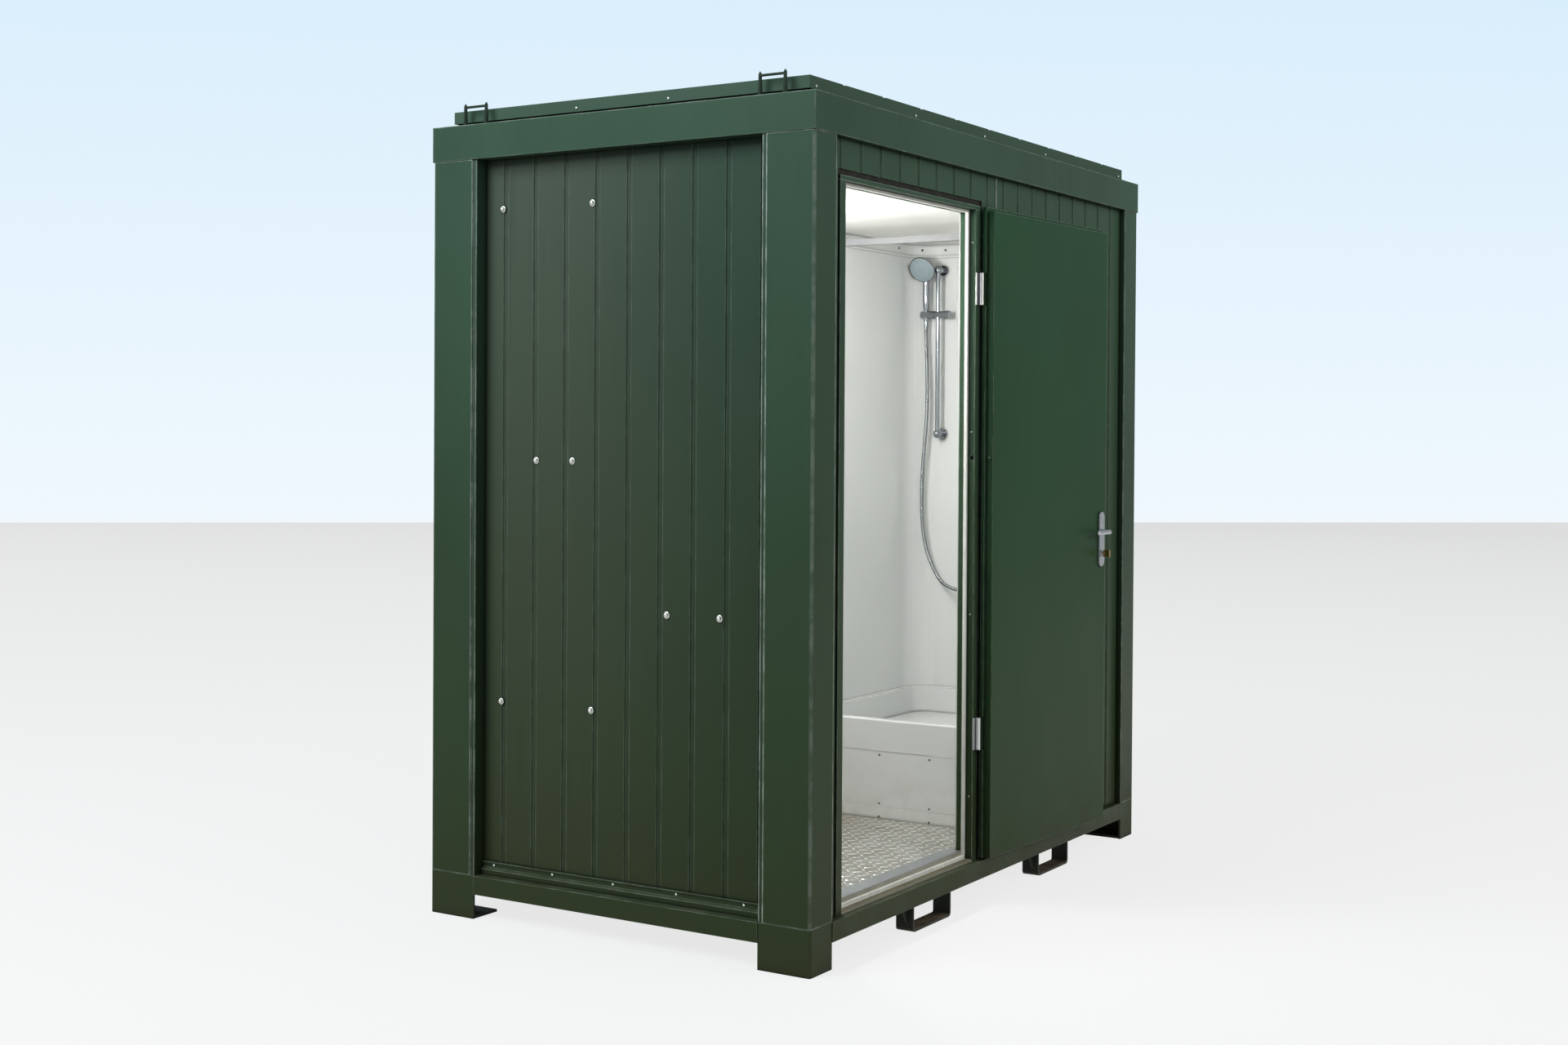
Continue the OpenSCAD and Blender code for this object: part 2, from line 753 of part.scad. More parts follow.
// Everything on the leaf is drawn closed and turned about the door hinge
module on_leaf() {
    placed() translate([hinge_x, hinge_y, 0]) rotate([0, 0, door_open])
        translate([-hinge_x, -hinge_y, 0]) children();
}

module door_leaf() {
    rebate = hinge_plate_t + 0.7;
    color(moss) on_leaf() {
        difference() {
            union() {
                block([lip_x0, lip_y0, leaf_z0], [lip_x1, lip_y1, lip_z1]);
                block([body_x0, lip_y1, leaf_z0], [body_x1, body_y1, body_z1]);
            }
            for (z = hinge_zs)
                block([body_x1 - 1, lip_y1 - rebate, z - hinge_l / 2 - 2],
                    [lip_x1 + 1, lip_y1, z + hinge_l / 2 + 2]);
            block([body_x0 - 1, leaf_mid_y - case_t / 2, case_z0],
                [spindle_x + 20, leaf_mid_y + case_t / 2, case_z1]);
            block([body_x0 - 1, leaf_mid_y - forend_w / 2, case_z0 - 8],
                [body_x0 + forend_t, leaf_mid_y + forend_w / 2, case_z1 + 8]);
            translate([spindle_x, 0, lever_z]) bar_y(spindle_d + 6, lip_y0 - 1, body_y1 + 1);
            translate([spindle_x, 0, turn_z]) bar_y(barrel_d + 1, lip_y0 - 1, body_y1 + 1);
        }
        translate([0, leaf_mid_y, stud_z]) bar_x(stud_d, body_x1, body_x1 + stud_l);
    }
}

module leaf_hinges() {
    plate_w = 45;
    color(steel) on_leaf() for (z = hinge_zs) translate([0, 0, z]) difference() {
        union() {
            block([hinge_x - 10 - plate_w, lip_y0 - hinge_plate_t, -hinge_l / 2],
                [lip_x1, lip_y0, hinge_l / 2]);
            block([lip_x1 - 1, lip_y0 - hinge_plate_t, -hinge_mid], [hinge_x, lip_y0, hinge_mid]);
            translate([hinge_x, hinge_y, 0]) post(knuckle_d, -hinge_mid, hinge_mid);
        }
        translate([hinge_x, hinge_y, 0]) post(hinge_pin_d + 0.4, -hinge_l, hinge_l);
    }
}

module lock_case() {
    slip = gap;
    latch_tail = body_x0 - latch_out + latch_l + latch_out + 1;
    color(steel) on_leaf() difference() {
        union() {
            block([body_x0 + forend_t, leaf_mid_y - case_t / 2, case_z0],
                [spindle_x + 20, leaf_mid_y + case_t / 2, case_z1]);
            block([body_x0, leaf_mid_y - forend_w / 2, case_z0 - 8],
                [body_x0 + forend_t, leaf_mid_y + forend_w / 2, case_z1 + 8]);
            translate([spindle_x, 0, turn_z])
                bar_y(barrel_d, lip_y0 - plate_t - 3, body_y1 + plate_t + 6);
        }
        translate([spindle_x, 0, lever_z]) bar_y(spindle_d + 1, lip_y0 - 20, body_y1 + 20);
        translate([spindle_x, 0, turn_z])
            bar_y(turn_d + 2 * slip, leaf_mid_y, body_y1 + plate_t + 7);
        block([body_x0 - 1, leaf_mid_y - latch_w / 2 - slip, lever_z - latch_h / 2 - slip],
            [latch_tail, leaf_mid_y + latch_w / 2 + slip, lever_z + latch_h / 2 + slip]);
        block([body_x0 - 1, leaf_mid_y - latch_w / 2 - slip, turn_z - bolt_h / 2 - slip],
            [body_x0 + bolt_l + 1, leaf_mid_y + latch_w / 2 + slip, turn_z + bolt_h / 2 + slip]);
    }
}

// Long handle plate with round ends and a chamfered face, from face y outwards
module handle_plate(y, out) {
    translate([spindle_x, y, 0]) rotate([90 * out, 0, 0]) mirror([0, (1 - out) / 2, 0]) {
        linear_extrude(plate_t - 1.5) polygon(rounded([-plate_w / 2, plate_z0],
            [plate_w / 2, plate_z1], plate_w / 2 - 1));
        translate([0, 0, plate_t - 1.5]) linear_extrude(1.5) polygon(rounded(
            [-plate_w / 2 + 1.5, plate_z0 + 1.5], [plate_w / 2 - 1.5, plate_z1 - 1.5],
            plate_w / 2 - 2.5));
    }
}

module handle_plates() {
    screw_zs = [plate_z0 + 28, lever_z + 19, plate_z1 - 15];
    color(steel) on_leaf() {
        difference() {
            union() {
                handle_plate(body_y1, -1);
                handle_plate(lip_y0, 1);
                for (z = screw_zs) translate([spindle_x, body_y1 + plate_t, z])
                    rotate([-90, 0, 0]) dome(8, 1.6);
            }
            translate([spindle_x, 0, lever_z]) bar_y(19, lip_y0 - 20, body_y1 + 20);
            translate([spindle_x, 0, turn_z]) bar_y(barrel_d + 2 * gap, lip_y0 - 20, body_y1 + 20);
        }
    }
}

// Lever grip with its neck, pointing from the plate to the user
module lever_grip(y, out) {
    neck_d = grip_d + 2;
    grip_y = y + out * (lever_out - grip_d / 2);
    translate([spindle_x, 0, lever_z]) {
        bar_y(neck_d, min(y, grip_y), max(y, grip_y));
        translate([0, grip_y, 0]) sphere(d = grip_d);
        translate([0, grip_y, 0]) bar_x(grip_d, 0, grip_l);
        translate([grip_l, grip_y, 0]) sphere(d = grip_d);
    }
}

module lever_handles() {
    color(steel) on_leaf() {
        lever_grip(body_y1, 1);
        lever_grip(lip_y0, -1);
        translate([spindle_x, 0, lever_z]) bar_y(spindle_d, lip_y0, body_y1);
    }
}

module latch_bolt() {
    tip = 6;
    color(brass) on_leaf() translate([body_x0 - latch_out, leaf_mid_y, lever_z - latch_h / 2])
        linear_extrude(latch_h) polygon([[0, -latch_w / 2], [latch_l, -latch_w / 2],
            [latch_l, latch_w / 2], [tip * 1.6, latch_w / 2], [0, -latch_w / 2 + tip * 0.5]]);
}

module thumbturn() {
    y0 = body_y1 + plate_t + 6.4;
    knob_l = 24;
    color(brass) on_leaf() translate([spindle_x, 0, turn_z]) {
        bar_y(turn_d, leaf_mid_y + 2, y0);
        intersection() {
            bar_y(26, y0, y0 + knob_l);
            block([-5, y0, -13], [5, y0 + knob_l, 13]);
        }
        bar_y(16, y0, y0 + 5);
    }
}

module dead_bolt() {
    color(steel) on_leaf() block([body_x0, leaf_mid_y - latch_w / 2, turn_z - bolt_h / 2],
        [body_x0 + bolt_l, leaf_mid_y + latch_w / 2, turn_z + bolt_h / 2]);
}

module shower_tray() {
    inner = [[tray_x0 + tray_wall + 8, shower_y0 + 22], [shower_x1 - 22, shower_y1 - 22]];
    base_z = tray_z + 14;
    lip_r = 6;
    color(off_white) placed() difference() {
        along_y(shower_y0 - pod_t, shower_y1 + pod_t) polygon(concat([[tray_x0, tray_z]],
            arc([tray_x0 + lip_r, tray_rim - lip_r], lip_r, 180, 90),
            [[shower_x1 + pod_t, tray_rim], [shower_x1 + pod_t, tray_z]]));
        translate([0, 0, base_z]) linear_extrude(tray_rim)
            polygon(rounded(inner[0], inner[1], 60));
        translate([drain_x, drain_y, 0]) post(drain_d + 1, tray_z - 1, tray_rim);
        translate([0, 0, tray_z - 1]) linear_extrude(base_z - tray_z - 4)
            polygon(rounded([tray_x0 + 16, shower_y0 + 14], [drain_x - 60, shower_y1 - 14], 20));
    }
}

module tray_legs() {
    color(steel) placed() for (x = [shower_x + 60, shower_x1 - 60], y = [shower_y0 + 60, shower_y1 - 60])
        translate([x, y, 0]) {
            post(60, floor_z, floor_z + 6);
            post(16, floor_z, tray_z);
        }
}

module access_panels() {
    kick_h = 43;
    color(off_white) placed() {
        block([tray_x0, shower_y0 - pod_t, floor_z], [tray_x0 + 8, shower_y1 + pod_t, floor_z + kick_h]);
        block([tray_x0 + panel_set, shower_y0 - pod_t, floor_z + kick_h],
            [tray_x0 + panel_set + panel_t, shower_y1 + pod_t, tray_z]);
        block([tray_x0, shower_y1 + pod_t + gap, floor_z], [tray_x0 + panel_t, room_y, ceiling_z]);
    }
}

// Plan path of the shower lining: open to the room, rounded at the far corners
pod_path = concat([[tray_x0, shower_y0]],
    arc([shower_x1 - pod_r, shower_y0 + pod_r], pod_r, 270, 360, 10),
    arc([shower_x1 - pod_r, shower_y1 - pod_r], pod_r, 0, 90, 10), [[tray_x0, shower_y1]]);

module pod_walls() {
    rim_h = 8;
    color(off_white) placed() {
        translate([0, 0, tray_rim]) linear_extrude(pod_top - tray_rim)
            polygon(folded(pod_path, -pod_t));
        translate([0, 0, pod_top]) linear_extrude(ceiling_z - pod_top)
            polygon(folded([for (i = [0:len(pod_path) - 1]) mitre(pod_path, i, -2)], -(pod_t - 2)));
        translate([0, 0, pod_top - rim_h]) linear_extrude(rim_h)
            polygon(folded([for (i = [0:len(pod_path) - 1]) mitre(pod_path, i, 2)], -3));
    }
}

module curtain_rail() {
    color(chrome) placed() translate([shower_x + 9, 0, curtain_z]) {
        bar_y(rail_d, shower_y0, shower_y1);
        bar_y(40, shower_y0, shower_y0 + 6);
        bar_y(40, shower_y1 - 6, shower_y1);
    }
}

// Clear inside of the shower lining, which trims what is fixed to it
module shower_inside() {
    translate([0, 0, tray_rim]) linear_extrude(pod_top - tray_rim - 10) polygon(pod_path);
}

module riser_rail() {
    color(chrome) placed() intersection() {
        union() {
            translate([rail_x, rail_y, 0]) post(rail_d, rail_z0, rail_z1);
            for (z = [rail_z0 + 16, rail_z1 + 5]) translate([0, rail_y, z]) {
                bar_x(22, rail_x - 4, shower_x1 + 2);
                bar_x(40, shower_x1 - 8, shower_x1 + 2);
                translate([rail_x, 0, 0]) sphere(d = 34);
            }
        }
        shower_inside();
    }
}

module rail_slider() {
    color(chrome) placed() translate([rail_x, rail_y, slider_z]) difference() {
        union() {
            bar_y(holder_d - 3, -30, holder_y - rail_y - 38 - gap);
            bar_y(holder_d, -53, -27);
        }
        post(rail_d + 2 * gap, -40, 40);
    }
}

module handset_holder() {
    color(chrome) placed() translate([rail_x, holder_y, slider_z]) difference() {
        bar_y(holder_d, -38, 20);
        post(holder_bore, -20, 20);
    }
}

module hand_shower() {
    head_d = 110;
    grip_r = 15;
    neck_r = holder_bore / 2;
    color(steel) placed() translate([rail_x, holder_y, slider_z]) {
        rotate_extrude() polygon([[0, -34], [8, -34], [8, -26], [neck_r, -20], [neck_r, 16],
            [grip_r - 2, 28], [grip_r, 80], [grip_r - 1, 130], [grip_r - 4, 150], [0, 150]]);
        translate([-30, 0, 184]) rotate([0, -head_tilt - 90, 0])
            rotate_extrude() polygon([[0, -14], [20, -12], [head_d / 2 - 4, 4],
                [head_d / 2, 9], [head_d / 2 - 2, 14], [0, 14]]);
        hull() {
            translate([0, 0, 136]) sphere(r = grip_r - 2, $fn = 24);
            translate([-20, 0, 170]) sphere(r = grip_r - 2, $fn = 24);
        }
    }
}

module shower_mixer() {
    half = 130;
    color(chrome) placed() {
        intersection() {
            union() {
                translate([mixer_x, mixer_y, mixer_z]) bar_y(mixer_d, -half + 50, half - 50);
                for (s = [-75, 75]) translate([0, mixer_y + s * 0.8, mixer_z]) {
                    bar_x(30, mixer_x, shower_x1);
                    bar_x(62, shower_x1 - 8, shower_x1);
                }
                translate([mixer_x, mixer_y, 0]) post(20, mixer_z - mixer_d / 2 - 12, mixer_z);
            }
            shower_inside();
        }
        translate([mixer_x, mixer_y, mixer_z]) bar_y(14, -half + 20, half - 20);
    }
}

// A ribbed knob on the end of the mixer, along Y
module mixer_knob(side) {
    knob_l = 48;
    y0 = 80 + gap;
    translate([mixer_x, mixer_y, mixer_z]) mirror([0, (1 - side) / 2, 0]) difference() {
        union() {
            bar_y(mixer_d - 2, y0, y0 + knob_l);
            for (i = [0:2]) rotate([0, i * 120, 0]) translate([mixer_d / 2 - 3, 0, 0])
                bar_y(12, y0 + 8, y0 + knob_l - 4);
        }
        bar_y(14 + 2 * gap, 0, 110 + 1);
    }
}

module flow_handle() {
    color(chrome) placed() mixer_knob(1);
}

module temperature_handle() {
    color(chrome) placed() mixer_knob(-1);
}

// Points of a smooth curve through the route
function smooth(p, n) = concat([for (i = [0:len(p) - 2], k = [0:n - 1])
    let (a = p[max(i - 1, 0)], b = p[i], c = p[i + 1], d = p[min(i + 2, len(p) - 1)], t = k / n)
    0.5 * (2 * b + (c - a) * t + (2 * a - 5 * b + 4 * c - d) * t * t
        + (3 * b - a - 3 * c + d) * t * t * t)], [p[len(p) - 1]]);

module shower_hose() {
    sides = 10;
    path = smooth(hose_points, 3);
    n = len(path);
    tangents = [for (i = [0:n - 1]) i == 0 ? [0, 0, -1] : i == n - 1 ? [0, 0, 1]
        : unit(path[i + 1] - path[i - 1])];
    rings = [for (i = [0:n - 1]) let (u = [1, 0, 0], v = unit(cross(tangents[i], u)), w = cross(v, tangents[i]))
        each [for (k = [0:sides - 1]) let (a = 360 * k / sides)
            path[i] + hose_d / 2 * (v * cos(a) + w * sin(a))]];
    color(chrome) placed() polyhedron(rings, concat(
        [[for (k = [0:sides - 1]) k]],
        [for (i = [0:n - 2], k = [0:sides - 1]) let (a = i * sides + k, b = i * sides + (k + 1) % sides)
            each [[a, a + sides, b], [b, a + sides, b + sides]]],
        [[for (k = [sides - 1:-1:0]) (n - 1) * sides + k]]));
}

// Plan outline of the toilet: square behind, round in front, inset by d
function pan_outline(back, front, half, d = 0) = let (r = half - d)
    concat([[back + d, -r]], arc([front - half, 0], r, -90, 90, 16), [[back + d, r]]);

module toilet_pan() {
    half = pan_w / 2;
    rim_h = 26;
    bowl_front = pan_front - 22;
    color(ceramic) placed() translate([0, toilet_y, 0]) difference() {
        union() {
            hull() {
                translate([0, 0, pan_top - rim_h]) linear_extrude(rim_h)
                    polygon(pan_outline(pan_back + 210, pan_front, half));
                translate([0, 0, floor_z + 170]) linear_extrude(4)
                    polygon(pan_outline(pan_back + 190, pan_front - 150, half - 70));
            }
            hull() {
                translate([0, 0, floor_z]) linear_extrude(6)
                    polygon(pan_outline(pan_back + 170, pan_front - 130, half - 60));
                translate([0, 0, floor_z + 180]) linear_extrude(4)
                    polygon(pan_outline(pan_back + 190, pan_front - 170, half - 75));
            }
            translate([0, 0, floor_z + 300]) linear_extrude(pan_h - 300)
                polygon(rounded([pan_back, -half + 10], [pan_back + 260, half - 10], 14));
            translate([lid_hinge_x, 0, lid_hinge_z]) bar_y(lid_pin_d, -lid_pin_l / 2, lid_pin_l / 2);
            for (y = [-lid_pin_l / 2, lid_pin_l / 2 - 8])
                block([lid_hinge_x - 7, y, pan_top - 1], [lid_hinge_x + 7, y + 8, lid_hinge_z + 7]);
        }
        hull() {
            translate([0, 0, pan_top]) linear_extrude(2)
                polygon(pan_outline(pan_back + 292, bowl_front, half - 24));
            translate([bowl_front - 200, 0, pan_top - 230]) cylinder(d = 90, h = 2);
        }
        translate([0, 0, floor_z + 190]) bar_x(waste_d - 10, pan_back + 150, pan_back + 240);
    }
}

// A ring or plate over the toilet rim, d inside its outline
module rim_plate(d) {
    polygon(pan_outline(lid_hinge_x + 12, pan_front + 6, pan_w / 2 + 6, d));
}

module toilet_seat() {
    half = pan_w / 2;
    color(ceramic) placed() translate([0, toilet_y, pan_top + gap]) {
        difference() {
            linear_extrude(seat_t) rim_plate(0);
            translate([0, 0, -1]) linear_extrude(seat_t + 2)
                polygon(pan_outline(lid_hinge_x + 70, pan_front - 44, half - 44));
        }
        for (y = [-92, 68]) translate([lid_hinge_x, y, lid_hinge_z - pan_top - gap])
            hinge_ear(24, [0, 0, -4], [16, 24, 3]);
    }
}

// Ear of the seat or lid round the hinge pin, with a block that joins it to the plate
module hinge_ear(l, a, b) {
    difference() {
        union() {
            bar_y(lid_pin_d + 10, 0, l);
            block(a, b);
        }
        bar_y(lid_pin_d + 2 * gap, -1, l + 1);
    }
}

module toilet_lid() {
    plate_z = pan_top + seat_t + 2 - lid_hinge_z;
    color(ceramic) placed() translate([lid_hinge_x, toilet_y, lid_hinge_z]) rotate([0, -lid_open, 0]) {
        translate([-lid_hinge_x, 0, plate_z]) linear_extrude(lid_t) rim_plate(0);
        for (y = [-60, 40]) translate([0, y, 0])
            hinge_ear(20, [0, 0, 4], [20, 20, plate_z + lid_t / 2]);
    }
}

module cistern() {
    x0 = -room_x + gap;
    z1 = pan_top + cistern_h;
    color(ceramic) placed() translate([0, toilet_y, 0]) difference() {
        union() {
            translate([0, 0, pan_top]) linear_extrude(cistern_h)
                polygon(rounded([x0, -cistern_w / 2], [x0 + cistern_d, cistern_w / 2], 25));
            translate([0, 0, z1]) linear_extrude(24)
                polygon(rounded([x0, -cistern_w / 2 - 6], [x0 + cistern_d + 6, cistern_w / 2 + 6], 25));
        }
        translate([x0 + cistern_d / 2, 0, 0]) post(button_d + 2 * gap, z1 + 12, z1 + 40);
    }
}

module flush_button() {
    z1 = pan_top + cistern_h + 24;
    color(chrome) placed() translate([-room_x + gap + cistern_d / 2, toilet_y, 0])
        post(button_d, z1 - 6, z1 + 3);
}

module wash_basin() {
    x0 = -room_x + gap;
    half = basin_w / 2;
    depth = basin_depth;
    color(ceramic) placed() translate([0, basin_y, basin_z]) difference() {
        hull() {
            translate([0, 0, -40]) linear_extrude(40)
                polygon(rounded([x0, -half], [x0 + basin_d, half], 60));
            translate([0, 0, -depth]) linear_extrude(4)
                polygon(rounded([x0, -half * 0.5], [x0 + basin_d * 0.7, half * 0.5], 40));
        }
        hull() {
            linear_extrude(2) polygon(rounded([x0 + 75, -half + 22], [x0 + basin_d - 20, half - 22], 50));
            translate([0, 0, -depth + 28]) linear_extrude(2)
                polygon(rounded([x0 + 95, -half * 0.4], [x0 + basin_d * 0.6, half * 0.4], 30));
        }
        translate([x0 + basin_d * 0.45, 0, 0]) post(46, -depth - 1, -depth + 40);
    }
}

module basin_tap() {
    color(chrome) placed() translate([-room_x + 38, basin_y, basin_z]) {
        post(46, 0, 6);
        post(30, 0, 96);
        post(12, 0, 118);
        hull() {
            translate([0, 0, 66]) sphere(d = 24, $fn = 24);
            translate([110, 0, 82]) sphere(d = 20, $fn = 24);
        }
        translate([108, 0, 0]) post(18, 62, 84);
    }
}

module tap_lever() {
    color(chrome) placed() translate([-room_x + 38, basin_y, basin_z + 96 + gap]) difference() {
        union() {
            post(34, 0, 26);
            translate([0, 0, 18]) bar_x(14, 0, 66);
            translate([66, 0, 18]) sphere(d = 14);
        }
        post(12 + 2 * gap, -1, 22.3);
    }
}

module water_heater() {
    color([0.96, 0.96, 0.96]) placed() {
        translate([-room_x + heater_d / 2 + 12, toilet_y, heater_z]) rotate_extrude()
            polygon(concat(arc([heater_d / 2 - 40, 40], 40, 270, 360),
                arc([heater_d / 2 - 40, heater_h - 40], 40, 0, 90), [[0, heater_h], [0, 0]]));
        for (z = [heater_z + 10, heater_z + heater_h - 40]) block([-room_x, toilet_y - 200, z],
            [-room_x + 14, toilet_y + 200, z + 30]);
        translate([-room_x, toilet_y - 60, heater_z + 60])
            block([0, 0, 0], [60, 120, heater_h - 120]);
    }
}

// A pipe run of straight lengths with round joints
module pipe(d, points) {
    for (i = [0:len(points) - 2]) let (a = points[i], v = points[i + 1] - a)
        translate(a) rotate([0, acos(v[2] / norm(v)), atan2(v[1], v[0])])
            cylinder(d = d, h = norm(v));
    for (i = [1:1:len(points) - 2]) translate(points[i]) sphere(d = d);
}

module pipework() {
    out_y = side_skin + collar_t;
    inner_d = [for (p = pipe_ends) p[2] - 2 * pipe_wall];
    soil = pipe_ends[0];
    drain = pipe_ends[1];
    inlet = pipe_ends[2];
    basin_x = -room_x + gap + basin_d * 0.45;
    under_z = basin_z - basin_depth;
    heater_x = -room_x + heater_d / 2 + 12;
    color([0.6, 0.6, 0.62]) placed() {
        for (p = pipe_ends) translate([p[0], 0, p[1]]) {
            bar_y(p[2] + 16, side_skin, out_y);
            bar_y(p[2], out_y, out_y + spigot_l);
        }
        pipe(inner_d[0], [[soil[0], toilet_y + 60, soil[1]], [soil[0], out_y, soil[1]]]);
        pipe(inner_d[1], [[drain_x, drain_y, tray_z - 1], [drain_x, drain_y, drain[1]],
            [drain[0], drain_y, drain[1]], [drain[0], out_y, drain[1]]]);
        pipe(inner_d[2], [[inlet[0], out_y, inlet[1]], [inlet[0], room_y - 40, inlet[1]],
            [heater_x, room_y - 40, inlet[1]], [heater_x, toilet_y + 60, inlet[1]],
            [heater_x, toilet_y + 60, heater_z]]);
        translate([basin_x, basin_y, 0]) {
            post(60, under_z - 6, under_z);
            post(32, under_z - 110, under_z);
            post(60, under_z - 150, under_z - 70);
        }
        pipe(32, [[basin_x, basin_y, under_z - 85], [-room_x, basin_y, under_z - 85]]);
    }
}

base_frame();
corner_feet();
fork_straps();
floor_deck();
tread_plate();
corner_posts();
roof_frame();
roof_upstand();
roof_cap();
lifting_bails();
end_walls();
rear_wall();
front_wall();
door_wall();
joint_strips();
insulation();
wall_linings();
ceiling_panel();
ceiling_light();
base_flashings();
wall_bolts();
sheet_screws();
left_jamb();
right_jamb();
door_head();
door_sill();
door_gasket();
strike_plate();
frame_hinges();
door_leaf();
leaf_hinges();
lock_case();
handle_plates();
lever_handles();
latch_bolt();
thumbturn();
dead_bolt();
shower_tray();
tray_legs();
access_panels();
pod_walls();
curtain_rail();
riser_rail();
rail_slider();
handset_holder();
hand_shower();
shower_mixer();
flow_handle();
temperature_handle();
shower_hose();
toilet_pan();
toilet_seat();
toilet_lid();
cistern();
flush_button();
wash_basin();
basin_tap();
tap_lever();
water_heater();
pipework();
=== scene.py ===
"""Looks of a portable toilet and shower cabin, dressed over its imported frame."""

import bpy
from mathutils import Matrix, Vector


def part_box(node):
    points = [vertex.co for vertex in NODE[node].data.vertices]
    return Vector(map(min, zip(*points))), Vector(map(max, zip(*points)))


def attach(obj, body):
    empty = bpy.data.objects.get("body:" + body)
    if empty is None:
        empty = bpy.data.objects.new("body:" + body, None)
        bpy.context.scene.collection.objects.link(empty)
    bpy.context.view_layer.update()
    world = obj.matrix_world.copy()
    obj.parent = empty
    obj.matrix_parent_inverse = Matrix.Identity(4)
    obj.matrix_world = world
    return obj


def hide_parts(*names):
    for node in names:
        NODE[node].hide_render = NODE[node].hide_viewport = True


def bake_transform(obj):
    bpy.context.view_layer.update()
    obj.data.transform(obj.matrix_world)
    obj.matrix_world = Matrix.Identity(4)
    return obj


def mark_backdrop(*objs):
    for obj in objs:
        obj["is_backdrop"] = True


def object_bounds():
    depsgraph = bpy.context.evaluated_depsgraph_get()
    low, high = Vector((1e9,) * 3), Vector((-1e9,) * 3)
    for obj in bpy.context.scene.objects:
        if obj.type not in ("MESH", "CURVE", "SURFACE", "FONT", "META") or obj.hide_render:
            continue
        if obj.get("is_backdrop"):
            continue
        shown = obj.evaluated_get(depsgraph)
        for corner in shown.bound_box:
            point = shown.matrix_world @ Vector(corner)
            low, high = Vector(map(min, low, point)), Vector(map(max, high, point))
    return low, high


bl_info = {
    "name": "Sanitary cabin",
    "version": (1, 0, 0),
    "blender": (4, 5, 0),
    "location": "View3D > Sidebar > Cabin",
    "description": "Dresses a steel sanitary cabin with paint, hose, shower and ceramic ware",
    "category": "Object",
}

import inspect
import math

import bpy
import bmesh
from mathutils import Matrix, Vector

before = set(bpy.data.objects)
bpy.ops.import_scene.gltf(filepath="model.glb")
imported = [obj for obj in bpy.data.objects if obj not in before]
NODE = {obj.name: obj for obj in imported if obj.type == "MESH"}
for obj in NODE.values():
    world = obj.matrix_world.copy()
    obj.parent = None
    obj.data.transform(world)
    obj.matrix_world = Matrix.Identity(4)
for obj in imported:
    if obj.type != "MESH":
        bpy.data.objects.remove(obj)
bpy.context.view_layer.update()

# The cabin stands a little behind the origin, because the open door reaches forward
POSTS_LOW, POSTS_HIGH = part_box("corner_posts")
MIDDLE_Y = (POSTS_LOW.y + POSTS_HIGH.y) / 2
FLOOR_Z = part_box("tread_plate")[1].z


def mm(x, y, z):
    """A place in the cabin's own frame, given in millimetres, as a point in metres."""
    return Vector((x / 1000, y / 1000 + MIDDLE_Y, z / 1000))


def tint(red, green, blue):
    """A colour given in display values from 0 to 255, as linear light."""
    def linear(value):
        value /= 255
        return value / 12.92 if value <= 0.04045 else ((value + 0.055) / 1.055) ** 2.4
    return (linear(red), linear(green), linear(blue), 1.0)


# Settings that a user would change

COLOUR = {"subtype": "COLOR", "size": 4, "min": 0, "max": 1}
SHARE = {"subtype": "FACTOR", "min": 0, "max": 1}


class CabinPaint(bpy.types.PropertyGroup):
    """Colours and wear of the painted steel"""
    body: bpy.props.FloatVectorProperty(
        name="Body paint", description="Colour of the painted frame, walls and door",
        default=tint(61, 87, 70), **COLOUR)
    leaf: bpy.props.FloatVectorProperty(
        name="Leaf paint", description="Colour of the painted door leaf",
        default=tint(44, 82, 57), **COLOUR)
    walls: bpy.props.FloatVectorProperty(
        name="Wall paint", description="Colour of the coated wall sheets",
        default=tint(58, 78, 65), **COLOUR)
    straps: bpy.props.FloatVectorProperty(
        name="Strap paint", description="Colour of the painted fork pocket straps",
        default=tint(38, 44, 36), **COLOUR)
    grime: bpy.props.FloatProperty(
        name="Grime", description="How much dirt has settled low on the walls",
        default=0.5, **SHARE)
    # Scales the worn paint and the painted highlight along the enamel's edges.
    rubbed: bpy.props.FloatProperty(
        name="Rubbed edges", description="How far the paint is rubbed along its edges",
        default=0.6, **SHARE)


class ChequerPlate(bpy.types.PropertyGroup):
    """Sizes of the raised bars of the floor plate"""
    pitch: bpy.props.FloatProperty(
        name="Pitch", description="Distance between neighbouring bars",
        unit="LENGTH", min=0.015, max=0.08, default=0.036)
    length: bpy.props.FloatProperty(
        name="Length", description="Length of one bar",
        unit="LENGTH", min=0.01, max=0.06, default=0.034)
    width: bpy.props.FloatProperty(
        name="Width", description="Width of one bar",
        unit="LENGTH", min=0.003, max=0.02, default=0.009)
    height: bpy.props.FloatProperty(
        name="Height", description="Height of one bar above the plate",
        unit="LENGTH", min=0.0005, max=0.004, default=0.0022)


class ShowerHose(bpy.types.PropertyGroup):
    """Sizes of the shower hose"""
    diameter: bpy.props.FloatProperty(
        name="Diameter", description="Outer diameter of the hose",
        unit="LENGTH", min=0.01, max=0.02, default=0.015)
    rib_pitch: bpy.props.FloatProperty(
        name="Rib pitch", description="Distance between two ribs of the winding",
        unit="LENGTH", min=0.002, max=0.01, default=0.0042)
    rib_depth: bpy.props.FloatProperty(
        name="Rib depth", description="Depth of the groove between two ribs",
        unit="LENGTH", min=0, max=0.002, default=0.0007)


